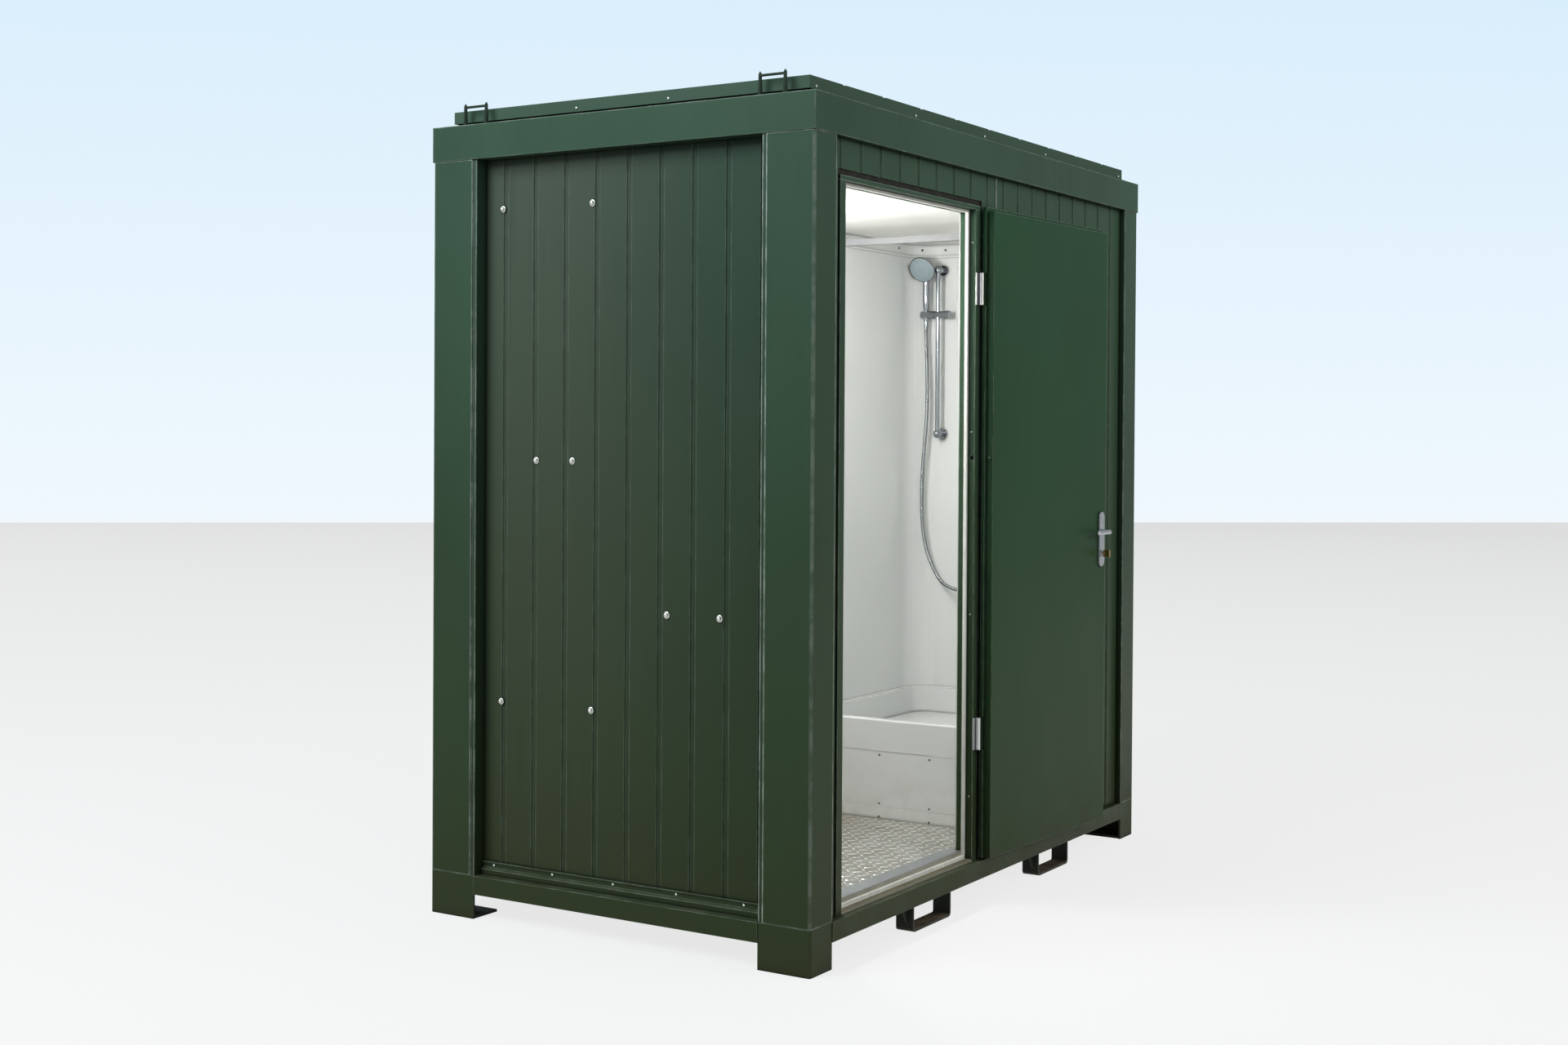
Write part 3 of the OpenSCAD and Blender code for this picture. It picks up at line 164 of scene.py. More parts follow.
class StudioStage(bpy.types.PropertyGroup):
    """Floor, backdrop and lamps"""
    key_power: bpy.props.FloatProperty(
        name="Key lamp", description="Power of the large soft lamp on the left",
        unit="POWER", min=0, max=5000, default=430)
    fill_power: bpy.props.FloatProperty(
        name="Fill lamp", description="Power of the soft lamp in front of the door side",
        unit="POWER", min=0, max=5000, default=225)
    room_power: bpy.props.FloatProperty(
        name="Ceiling lamp", description="Power of the lamp in the cabin's ceiling",
        unit="POWER", min=0, max=500, default=38)
    surround: bpy.props.FloatProperty(
        name="Surround", description="Strength of the light from all around",
        min=0, max=3, default=0.52)


def settings():
    """The settings of the current scene, by group."""
    scene = bpy.context.scene
    return scene.cabin_paint, scene.chequer_plate, scene.shower_hose, scene.studio_stage


# Short calls for node trees

class Nodes:
    """Adds nodes to one tree and feeds their sockets."""

    def __init__(self, tree):
        self.tree = tree

    def add(self, kind, feeds=None, **choices):
        node = self.tree.nodes.new(kind)
        for name, value in choices.items():
            setattr(node, name, value)
        for key, value in (feeds or {}).items():
            self.feed(node.inputs[key], value)
        return node

    def feed(self, socket, value):
        if isinstance(value, bpy.types.Node):
            value = value.outputs[0]
        if isinstance(value, bpy.types.NodeSocket):
            self.tree.links.new(value, socket)
        else:
            socket.default_value = value

    def math(self, operation, first, second, clamp=False):
        return self.add("ShaderNodeMath", {0: first, 1: second}, operation=operation,
                        use_clamp=clamp)

    def parts(self, vector):
        """The X, Y and Z of a vector."""
        return self.add("ShaderNodeSeparateXYZ", {0: vector}).outputs

    def scaled(self, vector, factor):
        scaled = self.add("ShaderNodeVectorMath", {0: vector, 3: factor}, operation="SCALE")
        return scaled.outputs[0]

    def span(self, value, low, high, to_low=0.0, to_high=1.0):
        """Maps a value from one range to another, without leaving it."""
        return self.add("ShaderNodeMapRange", {0: value, 1: low, 2: high, 3: to_low, 4: to_high},
                        clamp=True)

    def blend(self, share, first, second):
        """A colour between two others."""
        node = self.add("ShaderNodeMix", {0: share, 6: first, 7: second}, data_type="RGBA",
                        clamp_factor=True)
        return node.outputs[2]

    def place(self, stretch=(1, 1, 1)):
        """Object coordinates, stretched along the axes."""
        place = self.add("ShaderNodeTexCoord").outputs["Object"]
        return self.add("ShaderNodeMapping", {"Vector": place, "Scale": stretch}).outputs[0]

    def noise(self, scale, detail=2.0, roughness=0.5, stretch=(1, 1, 1)):
        """Cloudy noise over the object, stretched along the axes."""
        return self.add("ShaderNodeTexNoise", {"Vector": self.place(stretch), "Scale": scale,
                                               "Detail": detail, "Roughness": roughness}).outputs[0]

    def times(self, first, second):
        return self.math("MULTIPLY", first, second)

    def sway(self, value, spread):
        """A factor near 1 that follows a noise."""
        return self.math("ADD", self.times(self.span(value, 0.3, 0.7, -1.0, 1.0), spread), 1.0)

    def mask(self, share, amount):
        """The end of a mask group: a share that an amount scales."""
        return {"mask": self.math("MULTIPLY", share, amount, clamp=True)}

    def shape(self, geometry, material):
        """The end of a geometry group: real faces in one material."""
        solid = self.add("GeometryNodeRealizeInstances", {0: geometry})
        return {"geometry": self.add("GeometryNodeSetMaterial",
                                     {"Geometry": solid, "Material": material})}


# Sockets that hold something else than a number, by name
SOCKETS = {"Geometry": "Geometry", "Material": "Material", "Head": "Object", "Normal": "Vector"}


def node_group(build, kind="ShaderNodeTree"):
    """A node group that a function fills: its arguments are the inputs, its results the outputs."""
    name = build.__name__.replace("_", " ").capitalize()
    if name in bpy.data.node_groups:
        return bpy.data.node_groups[name]
    tree = bpy.data.node_groups.new(name, kind)

    def add_sockets(side, values):
        for key, value in values.items():
            label = key.replace("_", " ").capitalize()
            socket = tree.interface.new_socket(
                label, in_out=side, socket_type="NodeSocket" + SOCKETS.get(label, "Float"))
            if isinstance(value, float):
                socket.default_value = value
    inputs = {key: item.default for key, item in inspect.signature(build).parameters.items()}
    del inputs["make"]
    add_sockets("INPUT", inputs)
    make = Nodes(tree)
    results = build(make, **dict(zip(inputs, make.add("NodeGroupInput").outputs)))
    add_sockets("OUTPUT", results)
    make.add("NodeGroupOutput", dict(enumerate(results.values())))
    return tree


def slow_tone(make, scale=2.0, spread=0.1):
    """Slow change of tone over a surface, as a factor near 1."""
    return {"factor": make.sway(make.noise(scale, 5.0, 0.55, (1, 1, 0.45)), spread)}


def rain_streaks(make, scale=30.0, amount=0.3):
    """Thin vertical runs left by rain."""
    runs = make.span(make.noise(scale, 4.0, 0.6, (1, 1, 0.03)), 0.5, 0.75)
    return make.mask(make.times(runs, make.span(make.noise(2.2), 0.42, 0.62)), amount)


def low_grime(make, top=0.5, amount=0.5, scale=9.0):
    """Dirt thrown up from the ground, thinning out with height."""
    fall = make.span(make.parts(make.place())[2], 0.0, top, 1.0, 0.0)
    splash = make.math("ADD", make.noise(scale, 7.0, 0.62), make.times(fall, 0.35))
    return make.mask(make.times(make.span(splash, 0.52, 0.86), fall), amount)


def settled_dust(make, amount=0.5, scale=6.0):
    """Dust that lies on faces that look up."""
    facing = make.add("ShaderNodeNewGeometry").outputs["True Normal"]
    patches = make.span(make.noise(scale, 6.0, 0.6), 0.35, 0.7)
    return make.mask(make.times(make.span(make.parts(facing)[2], 0.5, 0.95), patches), amount)


def crevice(make, reach=0.02, amount=0.6):
    """Inner corners and grooves, where little light comes: a mask that darkens them as painted
    shade.
    """
    light = make.add("ShaderNodeAmbientOcclusion", {"Distance": reach}, samples=4)
    return make.mask(make.span(light.outputs["AO"], 0.9, 0.45), amount)


def rubbed_edge(make, radius=0.002, amount=0.4, scale=14.0, thin=0.4):
    """Edges as a mask, even along every edge and stronger in noisy patches: worn finish, and on the
    enamel a painted highlight; and a normal that rounds them.
    """
    rounded = make.add("ShaderNodeBevel", {"Radius": radius}, samples=4)
    flat = make.add("ShaderNodeNewGeometry").outputs["True Normal"]
    turn = make.add("ShaderNodeVectorMath", {0: rounded, 1: flat},
                    operation="DOT_PRODUCT").outputs["Value"]
    # Every edge gets at least the even share, a painted highlight on the enamel; the noise adds
    # worn patches.
    worn = make.span(make.noise(scale, 6.0, 0.65), 0.44, 0.6, thin, 1.0)
    return {**make.mask(make.times(make.span(turn, 0.999, 0.93), worn), amount),
            "normal": rounded}


def fine_grain(make, scale=400.0, waves=0.0, wave_scale=3.0):
    """Height of a fine surface grain, with slow waves of sheet metal under it."""
    tall = make.times(make.noise(wave_scale, 1.0, stretch=(1, 1, 0.35)), waves)
    return {"height": make.math("ADD", make.noise(scale), tall)}


def brushed_metal(make, scale=300.0, spread=0.2):
    """Fine lines of brushing or drawing along the height."""
    lines = make.noise(scale, 3.0, stretch=(1, 1, 0.04))
    return {"factor": make.sway(lines, spread), "height": lines}


class Surface:
    """A material put together from the node groups, layer by layer."""

    def __init__(self, name, colour, rough, **sockets):
        self.material = bpy.data.materials.new(name)
        self.material.use_nodes = True
        self.material.diffuse_color = colour
        self.make = Nodes(self.material.node_tree)
        self.shader = next(n for n in self.make.tree.nodes if n.type == "BSDF_PRINCIPLED")
        sockets.update(Base_Color=colour, Roughness=rough)
        for label, value in sockets.items():
            self.shader.inputs[label.replace("_", " ")].default_value = value
        self.colour, self.rough, self.normal = colour, rough, None

    def group(self, build, *values):
        """One of the node groups, with values for its inputs in their order."""
        return self.make.add("ShaderNodeGroup", dict(enumerate(values)),
                             node_tree=node_group(build))

    def tinted(self, factor):
        """The colour times a factor near 1."""
        flat = isinstance(self.colour, tuple)
        self.colour = self.make.scaled(self.colour[:3] if flat else self.colour, factor)
        return self

    def swayed(self, scale, spread):
        """The roughness times a slow change."""
        self.rough = self.make.times(self.group(slow_tone, scale, spread), self.rough)
        return self

    def tone(self, scale, spread, rough_spread=0.0):
        """Slow changes of colour, and finer ones of roughness."""
        self.tinted(self.group(slow_tone, scale, spread))
        return self.swayed(scale * 3, rough_spread) if rough_spread else self

    def layer(self, mask, colour, rough=None):
        """Another colour where the mask says, such as dirt, painted shade and painted highlights.
        """
        self.colour = self.make.blend(mask, self.colour, colour)
        if rough is not None:
            self.rough = self.make.add("ShaderNodeMix", {0: mask, 2: self.rough, 3: rough},
                                       data_type="FLOAT").outputs[0]
        return self

    def grime(self, top, amount, scale, colour, rough):
        """Splashes up to a height."""
        return self.layer(self.group(low_grime, top, amount, scale), colour, rough)

    def dust(self, amount, scale, colour, rough):
        """Dust on what looks up."""
        return self.layer(self.group(settled_dust, amount, scale), colour, rough)

    def hollow(self, reach, amount, colour, rough):
        """Painted shade in corners and grooves."""
        return self.layer(self.group(crevice, reach, amount), colour, rough)

    def trodden(self, amount, colour, rough):
        """Painted shade from the door inwards: the floor grows darker and browner away from the
        door, where it lies in shade.
        """
        inward = self.make.parts(self.make.place())[1]
        clean, dirty = mm(0, -330, 0).y, mm(0, -60, 0).y
        return self.layer(self.make.span(inward, clean, dirty, 0.0, amount), colour, rough)

    def rounded(self, radius, amount=0.0, colour=None, scale=14.0, rough=None):
        """Edges that catch the light through a rounded normal; where an amount is given, another
        colour along them: worn paint, and on the enamel also a painted highlight.
        """
        edge = self.group(rubbed_edge, radius, amount, scale)
        self.normal = edge.outputs["Normal"]
        return self.layer(edge.outputs["Mask"], colour, rough) if amount else self

    def grain(self, scale, strength, waves=0.0, wave_scale=3.0):
        """A fine grain, with slow waves under it."""
        return self.bump(self.group(fine_grain, scale, waves, wave_scale), strength, 0.002)

    def bump(self, height, strength, distance):
        feeds = {"Height": height, "Strength": strength, "Distance": distance}
        if self.normal is not None:
            feeds["Normal"] = self.normal
        self.normal = self.make.add("ShaderNodeBump", feeds).outputs[0]
        return self

    def done(self):
        """The finished material."""
        for socket, value in (("Base Color", self.colour), ("Roughness", self.rough),
                              ("Normal", self.normal)):
            if isinstance(value, (bpy.types.NodeSocket, bpy.types.Node)):
                self.make.feed(self.shader.inputs[socket], value)
        return self.material


# Finishes of the cabin

def body_enamel(name="Moss enamel", colour=None, streaks=0.35, dull=0.7, faded=0.0,
                edge=tint(156, 174, 158), bend=0.003, rub=1.0):
    """Semi-gloss enamel on folded sheet, with rain runs, splashes and worn edges; painted shade low
    down and in the grooves, a painted highlight along the edges and, where given, a painted
    reflection towards the rear.
    """
    paint = settings()[0]
    colour = tuple(colour or paint.body)
    surface = Surface(name, colour, 0.3, Specular_IOR_Level=0.08).tone(1.6, 0.12, 0.18)
    make = surface.make
    place = make.parts(make.place())
    # Painted reflection: where given, the coating grows lighter towards the rear.
    if faded:
        surface.layer(make.span(place[1], -0.3, 0.25, 0.0, faded), tint(86, 94, 82))
    # Painted shade: darker and more olive towards the bottom, as the light falls from above.
    surface.layer(make.span(place[2], 0.1, 2.3, dull, 0.0), tint(46, 52, 12))
    # Painted shade in the grooves and inner corners.
    surface.hollow(0.03, 0.6, tint(26, 32, 24), 0.5)
    wet = tuple(c * 0.62 for c in colour[:3]) + (1,)
    surface.layer(surface.group(rain_streaks, 34.0, streaks), wet, 0.5)
    surface.grime(0.55, paint.grime, 11.0, tint(62, 60, 42), 0.7)
    surface.dust(0.6, 7.0, tint(92, 96, 80), 0.85)
    # Painted highlight along every edge, with worn patches in it; the edge colour is the
    # highlight's colour.
    surface.rounded(bend, paint.rubbed * rub, edge, rough=0.35)
    # Painted shade at the bottom of the grooves, laid over the edge highlight.
    surface.hollow(0.008, 1.0, tint(14, 22, 14), 0.6)
    return surface.grain(620, 0.05, waves=4.0, wave_scale=2.4).done()


def strap_enamel():
    """Thin paint on the fork straps, scraped to bright and rusty steel by the forks."""
    return (Surface("Strap enamel", tuple(settings()[0].straps), 0.5, Specular_IOR_Level=0.2)
            .tone(9.0, 0.25)
            .dust(1.0, 24.0, tint(132, 116, 98), 0.8)
            .grime(0.09, 0.35, 60.0, tint(78, 74, 62), 0.8)
            .rounded(0.003, 0.8, tint(112, 112, 102), 30.0, 0.5)
            .grain(260, 0.2).done())


def roof_enamel():
    """Enamel on the roof cap under years of dust."""
    return (Surface("Roof enamel", tuple(settings()[0].body), 0.5, Specular_IOR_Level=0.15)
            .tone(1.2, 0.15)
            .dust(0.85, 3.5, tint(92, 94, 82), 0.9)
            # Lighter edges: worn paint and a painted highlight.
            .rounded(0.002, 0.3, tint(104, 124, 108))
            .grain(420, 0.1, waves=4.0).done())


def room_white(name="Room white", colour=(208, 210, 208), rough=0.3, spread=0.025, bump=0.015):
    """White faced sheet of the linings and the shower."""
    return (Surface(name, tint(*colour), rough, Specular_IOR_Level=0.5)
            .tone(1.5, spread, 0.15)
            .grime(0.5, 0.35, 16.0, tint(168, 162, 148), 0.5)
            # Painted shade in the grooves and inner corners of the white sheet.
            .hollow(0.012, 0.9, tint(98, 96, 90), 0.5)
            .rounded(0.002)
            .grain(300, bump, waves=0.4).done())


def chequer_metal():
    """Rolled aluminium of the floor, dusty, with painted shade and a duller surface away from the
    door.
    """
    return (Surface("Chequer metal", tint(178, 177, 172), 0.42, Metallic=0.6)
            .tone(5.0, 0.12, 0.25)
            .dust(0.6, 9.0, tint(126, 120, 106), 0.7)
            # Painted shade: darker and browner away from the door.
            .trodden(0.55, tint(118, 108, 92), 0.75)
            .grain(500, 0.12).done())


def bar_metal():
    """Tops of the raised bars, polished by feet, with painted shade away from the door."""
    return (Surface("Bar metal", tint(230, 230, 226), 0.3, Metallic=0.7)
            .tone(30.0, 0.1, 0.2)
            # Painted shade: darker and browner away from the door.
            .trodden(0.6, tint(138, 128, 112), 0.6)
            .grain(700, 0.06).done())


def sill_metal():
    """Folded sill with worn paint and dirt in its steps."""
    return (Surface("Sill metal", tint(150, 146, 134), 0.5, Metallic=0.35)
            .tone(12.0, 0.16)
            .dust(0.8, 30.0, tint(112, 98, 78), 0.8)
            .rounded(0.001, 0.6, tint(190, 184, 170), 40.0)
            .grain(300, 0.15).done())


def polished_chrome():
    """Plated brass of the shower and tap."""
    return (Surface("Polished chrome", tint(152, 156, 162), 0.11, Metallic=1.0)
            .tone(20.0, 0.03, 0.5).rounded(0.0008).grain(80, 0.01).done())


def satin_steel(name="Satin steel", colour=(186, 188, 190), rough=0.3):
    """Brushed stainless steel or bright zinc."""
    surface = Surface(name, tint(*colour), rough, Metallic=1.0)
    lines = surface.group(brushed_metal, 260.0, 0.08)
    surface.tinted(lines.outputs["Factor"]).swayed(40.0, 0.25).rounded(0.0008)
    return surface.bump(lines.outputs["Height"], 0.04, 0.0005).done()


def worn_brass():
    """Brass of the lock."""
    return (Surface("Worn brass", tint(176, 146, 92), 0.28, Metallic=1.0)
            .tone(60.0, 0.15, 0.3)
            .rounded(0.0008, 0.4, tint(214, 190, 140), 90.0)
            .grain(500, 0.05).done())


def plain_plastic(name, colour, rough=0.35, spread=0.03, grain=0.03):
    """Moulded plastic or glazed ware in one colour."""
    return (Surface(name, tint(*colour), rough, Specular_IOR_Level=0.5)
            .tone(8.0, spread, 0.2).rounded(0.0015).grain(450, grain).done())


def soft_seal():
    """White seal of the door, grey where it is touched."""
    return (Surface("Soft seal", tint(232, 232, 228), 0.6, Specular_IOR_Level=0.3)
            .tone(14.0, 0.05)
            .grime(0.9, 0.4, 40.0, tint(140, 134, 120), 0.7)
            .rounded(0.0008).grain(250, 0.01).done())


def deck_wood():
    """Plywood of the floor, seen from below."""
    return (Surface("Deck wood", tint(120, 92, 62), 0.7, Specular_IOR_Level=0.2)
            .tone(14.0, 0.2).grain(90, 0.3, waves=2.0, wave_scale=30.0).done())


def lamp_cover():
    """Opal cover of the ceiling lamp, lit from inside."""
    return (Surface("Lamp cover", tint(246, 246, 240), 0.4,
                    Emission_Color=tint(255, 252, 244), Emission_Strength=3.0)
            .tone(6.0, 0.02).grain(200, 0.02).done())


def dress_frame():
    """Gives every node of the frame its finish, and returns those that other pieces share."""
    paint = settings()[0]
    enamel, chrome = body_enamel(), polished_chrome()
    finishes = {
        enamel: ("base_frame", "corner_feet", "front_wall", "door_wall", "base_flashings"),
        # The post, beam, bail, frame and leaf enamels differ from the body enamel mostly in their
        # painted edge highlights; the leaf also has less painted shade low down.
        body_enamel("Post enamel", edge=tint(222, 230, 222), bend=0.006, rub=1.6):
            ("corner_posts", "joint_strips"),
        body_enamel("Beam enamel", edge=tint(196, 206, 196), bend=0.005, rub=0.9):
            ("roof_frame",),
        body_enamel("Bail enamel", tint(42, 56, 46), edge=tint(132, 148, 134), bend=0.002):
            ("lifting_bails",),
        body_enamel("Frame enamel", edge=tint(214, 222, 212), rub=1.4):
            ("left_jamb", "right_jamb", "door_head"),
        body_enamel("Leaf enamel", paint.leaf, streaks=0.25, dull=0.55, edge=tint(190, 202, 188)):
            ("door_leaf",),
        # The wall coating gets a painted reflection that lightens it towards the rear.
        body_enamel("Wall coating", paint.walls, faded=0.6): ("end_walls", "rear_wall"),
        roof_enamel(): ("roof_cap",),
        strap_enamel(): ("fork_straps",),
        deck_wood(): ("floor_deck",),
        chequer_metal(): ("tread_plate",),
        sill_metal(): ("door_sill",),
        plain_plastic("Black rubber", (26, 27, 26), 0.7): ("roof_upstand",),
        # The insulation is near black as painted shade: it shows only in the dark recess above the
        # door head.
        plain_plastic("Dark felt", (34, 34, 30), 0.95): ("insulation",),
        room_white(): ("wall_linings",),
        room_white("Ceiling white", (226, 226, 222), 0.5, 0.01, 0.001): ("ceiling_panel",),
        room_white("Shower white", (222, 224, 223), 0.16, 0.015):
            ("pod_walls", "shower_tray", "access_panels"),
        lamp_cover(): ("ceiling_light",),
        plain_plastic("White caps", (222, 222, 216), 0.35): ("wall_bolts", "sheet_screws"),
        satin_steel("Bright zinc", (206, 208, 208), 0.34):
            ("frame_hinges", "leaf_hinges", "strike_plate", "tray_legs"),
        satin_steel(): ("lock_case", "handle_plates", "lever_handles", "dead_bolt"),
        worn_brass(): ("latch_bolt", "thumbturn"),
        soft_seal(): ("door_gasket",),
        chrome: ("curtain_rail", "riser_rail", "rail_slider", "handset_holder", "hand_shower",
                 "shower_mixer", "flow_handle", "temperature_handle", "flush_button",
                 "basin_tap", "tap_lever"),
        plain_plastic("Glazed ceramic", (236, 236, 232), 0.1, 0.015, 0.01):
            ("toilet_pan", "cistern", "wash_basin"),
        plain_plastic("Lid plastic", (240, 240, 238), 0.2): ("toilet_seat", "toilet_lid"),
        plain_plastic("Heater enamel", (226, 228, 226), 0.3): ("water_heater",),
        plain_plastic("Pipe plastic", (140, 142, 144), 0.5): ("pipework",),
    }
    for material, names in finishes.items():
        for name in names:
            wear(NODE[name], material)
    return {"enamel": enamel, "chrome": chrome}


def wear(piece, material):
    """The piece takes one material in all its slots."""
    piece.data.materials.clear()
    piece.data.materials.append(material)
    return piece


# Making pieces

def linked(name, data):
    """A new object in the scene."""
    thing = bpy.data.objects.new(name, data)
    bpy.context.scene.collection.objects.link(thing)
    return thing


def new_piece(name, points, faces, material, smooth=False):
    """A mesh piece from points in metres and faces."""
    mesh = bpy.data.meshes.new(name)
    mesh.from_pydata([tuple(p) for p in points], [], faces)
    mesh.validate()
    mesh.polygons.foreach_set("use_smooth", [smooth] * len(mesh.polygons))
    if smooth:
        mesh.set_sharp_from_angle(angle=math.radians(38))
    return wear(linked(name, mesh), material)


def turned(profile, turns):
    """Points of a profile of radii and heights, turned about the Z axis."""
    angles = [2 * math.pi * k / turns for k in range(turns)]
    return [Vector((radius * math.cos(angle), radius * math.sin(angle), height))
            for radius, height in profile for angle in angles]


def lathe(name, profile, place, facing, material, turns=40):
    """A piece turned about an axis, from radii and heights in millimetres."""
    stand = stand_on(place, facing)
    points = [stand @ (point / 1000) for point in turned(profile, turns)]
    return new_piece(name, points, grid_faces(len(profile), turns), material, smooth=True)


def grid_faces(rows, columns, ring=False):
    """Faces between rows of points that run round: the rows close too, or end in two caps."""
    faces = [(i * columns + k, i * columns + (k + 1) % columns,
              (i + 1) % rows * columns + (k + 1) % columns, (i + 1) % rows * columns + k)
             for i in range(rows if ring else rows - 1) for k in range(columns)]
    caps = [tuple(range(columns))[::-1], tuple(range((rows - 1) * columns, rows * columns))]
    return faces if ring else faces + caps


def stand_on(place, facing):
    """Turns a Z axis to face a direction, at a place."""
    turn = Vector(facing).to_track_quat("Z", "Y").to_matrix().to_4x4()
    return Matrix.Translation(place) @ turn


def prism(name, outline, axis, start, end, material):
    """A straight length of a profile: the outline's two numbers are the other two axes."""
    def corner(a, b, c):
        return {0: (c, a, b), 1: (a, c, b), 2: (a, b, c)}[axis]
    points = [corner(a, b, c) for c in (start, end) for a, b in outline]
    piece = new_piece(name, points, grid_faces(2, len(outline)), material)
    return outward(piece)


def outward(piece):
    """Turns all faces of a closed piece to the outside."""
    work = bmesh.new()
    work.from_mesh(piece.data)
    bmesh.ops.recalc_face_normals(work, faces=work.faces)
    work.to_mesh(piece.data)
    work.free()
    return piece


def settle(piece, body, slot, *replaced):
    """The piece rides a body and may stand for nodes; the slot is not used."""
    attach(piece, body)
    if replaced:
        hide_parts(*replaced)
    return piece


def islands(node):
    """The loose solids of a node, each as its lowest corner, highest corner and points."""
    part = NODE[node]
    work = bmesh.new()
    work.from_mesh(part.data)
    bmesh.ops.remove_doubles(work, verts=work.verts, dist=1e-5)
    left, found = set(work.verts), []
    while left:
        border, group = [left.pop()], []
        while border:
            vert = border.pop()
            group.append(part.matrix_world @ vert.co)
            near = {edge.other_vert(vert) for edge in vert.link_edges} & left
            left -= near
            border += near
        found.append((Vector([min(p[a] for p in group) for a in range(3)]),
                      Vector([max(p[a] for p in group) for a in range(3)]), group))
    work.free()
    return sorted(found, key=lambda item: tuple(item[0]))


def head_places(node):
    """Each fastener of a node: middle of its foot, facing, width and height."""
    places = []
    for low, high, points in islands(node):
        size = high - low
        axis = min(range(3), key=lambda a: size[a])
        foot = (low + high) / 2
        across = Vector([float(a != axis) for a in range(3)])

        def spread(level):
            ring = [p for p in points if abs(p[axis] - level[axis]) < 1e-4]
            return max(((p - foot) * across).length for p in ring)
        up = 1 if spread(low) > spread(high) else -1
        facing = Vector([up if a == axis else 0 for a in range(3)])
        foot[axis] = low[axis] if up > 0 else high[axis]
        places.append((foot, facing, max(size), min(size)))
    return places


def path_piece(name, paths):
    """A mesh of bare edges along paths, for a node tree to follow."""
    points, edges = [], []
    for path in paths:
        start = len(points)
        points += [tuple(p) for p in path]
        edges += [(start + i, start + i + 1) for i in range(len(path) - 1)]
    mesh = bpy.data.meshes.new(name)
    mesh.from_pydata(points, edges, [])
    return linked(name, mesh)


def shaped(piece, build, material, **values):
    """Runs a geometry node group on the piece, and keeps the result as a plain mesh."""
    shape = piece.modifiers.new("Shape", "NODES")
    shape.node_group = node_group(build, "GeometryNodeTree")
    values["material"] = material
    for item in shape.node_group.interface.items_tree:
        key = item.name.replace(" ", "_").lower()
        if item.in_out == "INPUT" and key in values:
            shape[item.identifier] = values[key]
    result = bpy.data.meshes.new_from_object(
        piece.evaluated_get(bpy.context.evaluated_depsgraph_get()))
    piece.modifiers.clear()
    old, piece.data = piece.data, result
    if old.name in bpy.data.meshes:
        bpy.data.meshes.remove(old)
    return wear(piece, material)


def tread_bars(make, geometry, material, pitch=0.029, length=0.029, width=0.008, height=0.0016):
    """Raised bars over a floor, turned left and right by turns."""
    box = make.add("GeometryNodeBoundBox", {0: geometry})
    low, high = make.parts(box.outputs["Min"]), make.parts(box.outputs["Max"])
    size = [make.math("SUBTRACT", high[axis], low[axis]) for axis in range(2)]
    count = [make.math("FLOOR", make.math("DIVIDE", side, pitch), 0) for side in size]
    spans = [make.times(make.math("SUBTRACT", number, 1.0), pitch) for number in count]
    grid = make.add("GeometryNodeMeshGrid", dict(zip(
        ("Size X", "Size Y", "Vertices X", "Vertices Y"), spans + count)))
    ends = make.add("ShaderNodeVectorMath", {0: box.outputs["Min"], 1: box.outputs["Max"]},
                    operation="ADD")
    moved = make.add("GeometryNodeTransform", {"Geometry": grid,
                                               "Translation": make.scaled(ends, 0.5)})
    place = make.parts(make.add("GeometryNodeInputPosition"))
    steps = [make.math("ROUND", make.math("DIVIDE", make.math(
        "SUBTRACT", place[axis], low[axis]), pitch), 0) for axis in range(2)]
    odd = make.math("FLOORED_MODULO", make.math("ADD", *steps), 2.0)
    angle = make.math("ADD", make.times(odd, math.pi / 2), math.pi / 4)
    turn = make.add("ShaderNodeCombineXYZ", {"Z": angle})
    bar = make.add("GeometryNodeMeshUVSphere", {"Segments": 8, "Rings": 4, "Radius": 0.5})
    size = make.add("ShaderNodeCombineXYZ", {0: length, 1: width, 2: make.times(height, 2.0)})
    return make.shape(make.add("GeometryNodeInstanceOnPoints", {
        "Points": moved, "Instance": bar, "Scale": size,
        "Rotation": make.add("FunctionNodeEulerToRotation", {0: turn})}), material)


def ribbed_hose(make, geometry, material, diameter=0.015, rib_pitch=0.004, rib_depth=0.0007):
    """A wound hose along a path, with a groove between its ribs."""
    line = make.add("GeometryNodeMeshToCurve", {0: geometry})
    step = make.math("DIVIDE", rib_pitch, 4.0)
    fine = make.add("GeometryNodeResampleCurve", {"Curve": line, "Length": step}, mode="LENGTH")
    along = make.add("GeometryNodeSplineParameter").outputs["Length"]
    phase = make.times(make.math("DIVIDE", along, rib_pitch), 2 * math.pi)
    dip = make.times(make.math("ADD", make.math("COSINE", phase, 0), 1.0),
                     make.times(rib_depth, 0.5))
    radius = make.math("SUBTRACT", make.times(diameter, 0.5), dip)
    thick = make.add("GeometryNodeSetCurveRadius", {"Curve": fine, "Radius": radius})
    ring = make.add("GeometryNodeCurvePrimitiveCircle", {"Resolution": 12, "Radius": 1.0})
    tube = make.add("GeometryNodeCurveToMesh", {"Curve": thick, "Profile Curve": ring,
                                                "Fill Caps": True})
    if "Scale" in tube.inputs:
        make.feed(tube.inputs["Scale"], make.add("GeometryNodeInputRadius"))
    return make.shape(make.add("GeometryNodeSetShadeSmooth", {"Geometry": tube}), material)


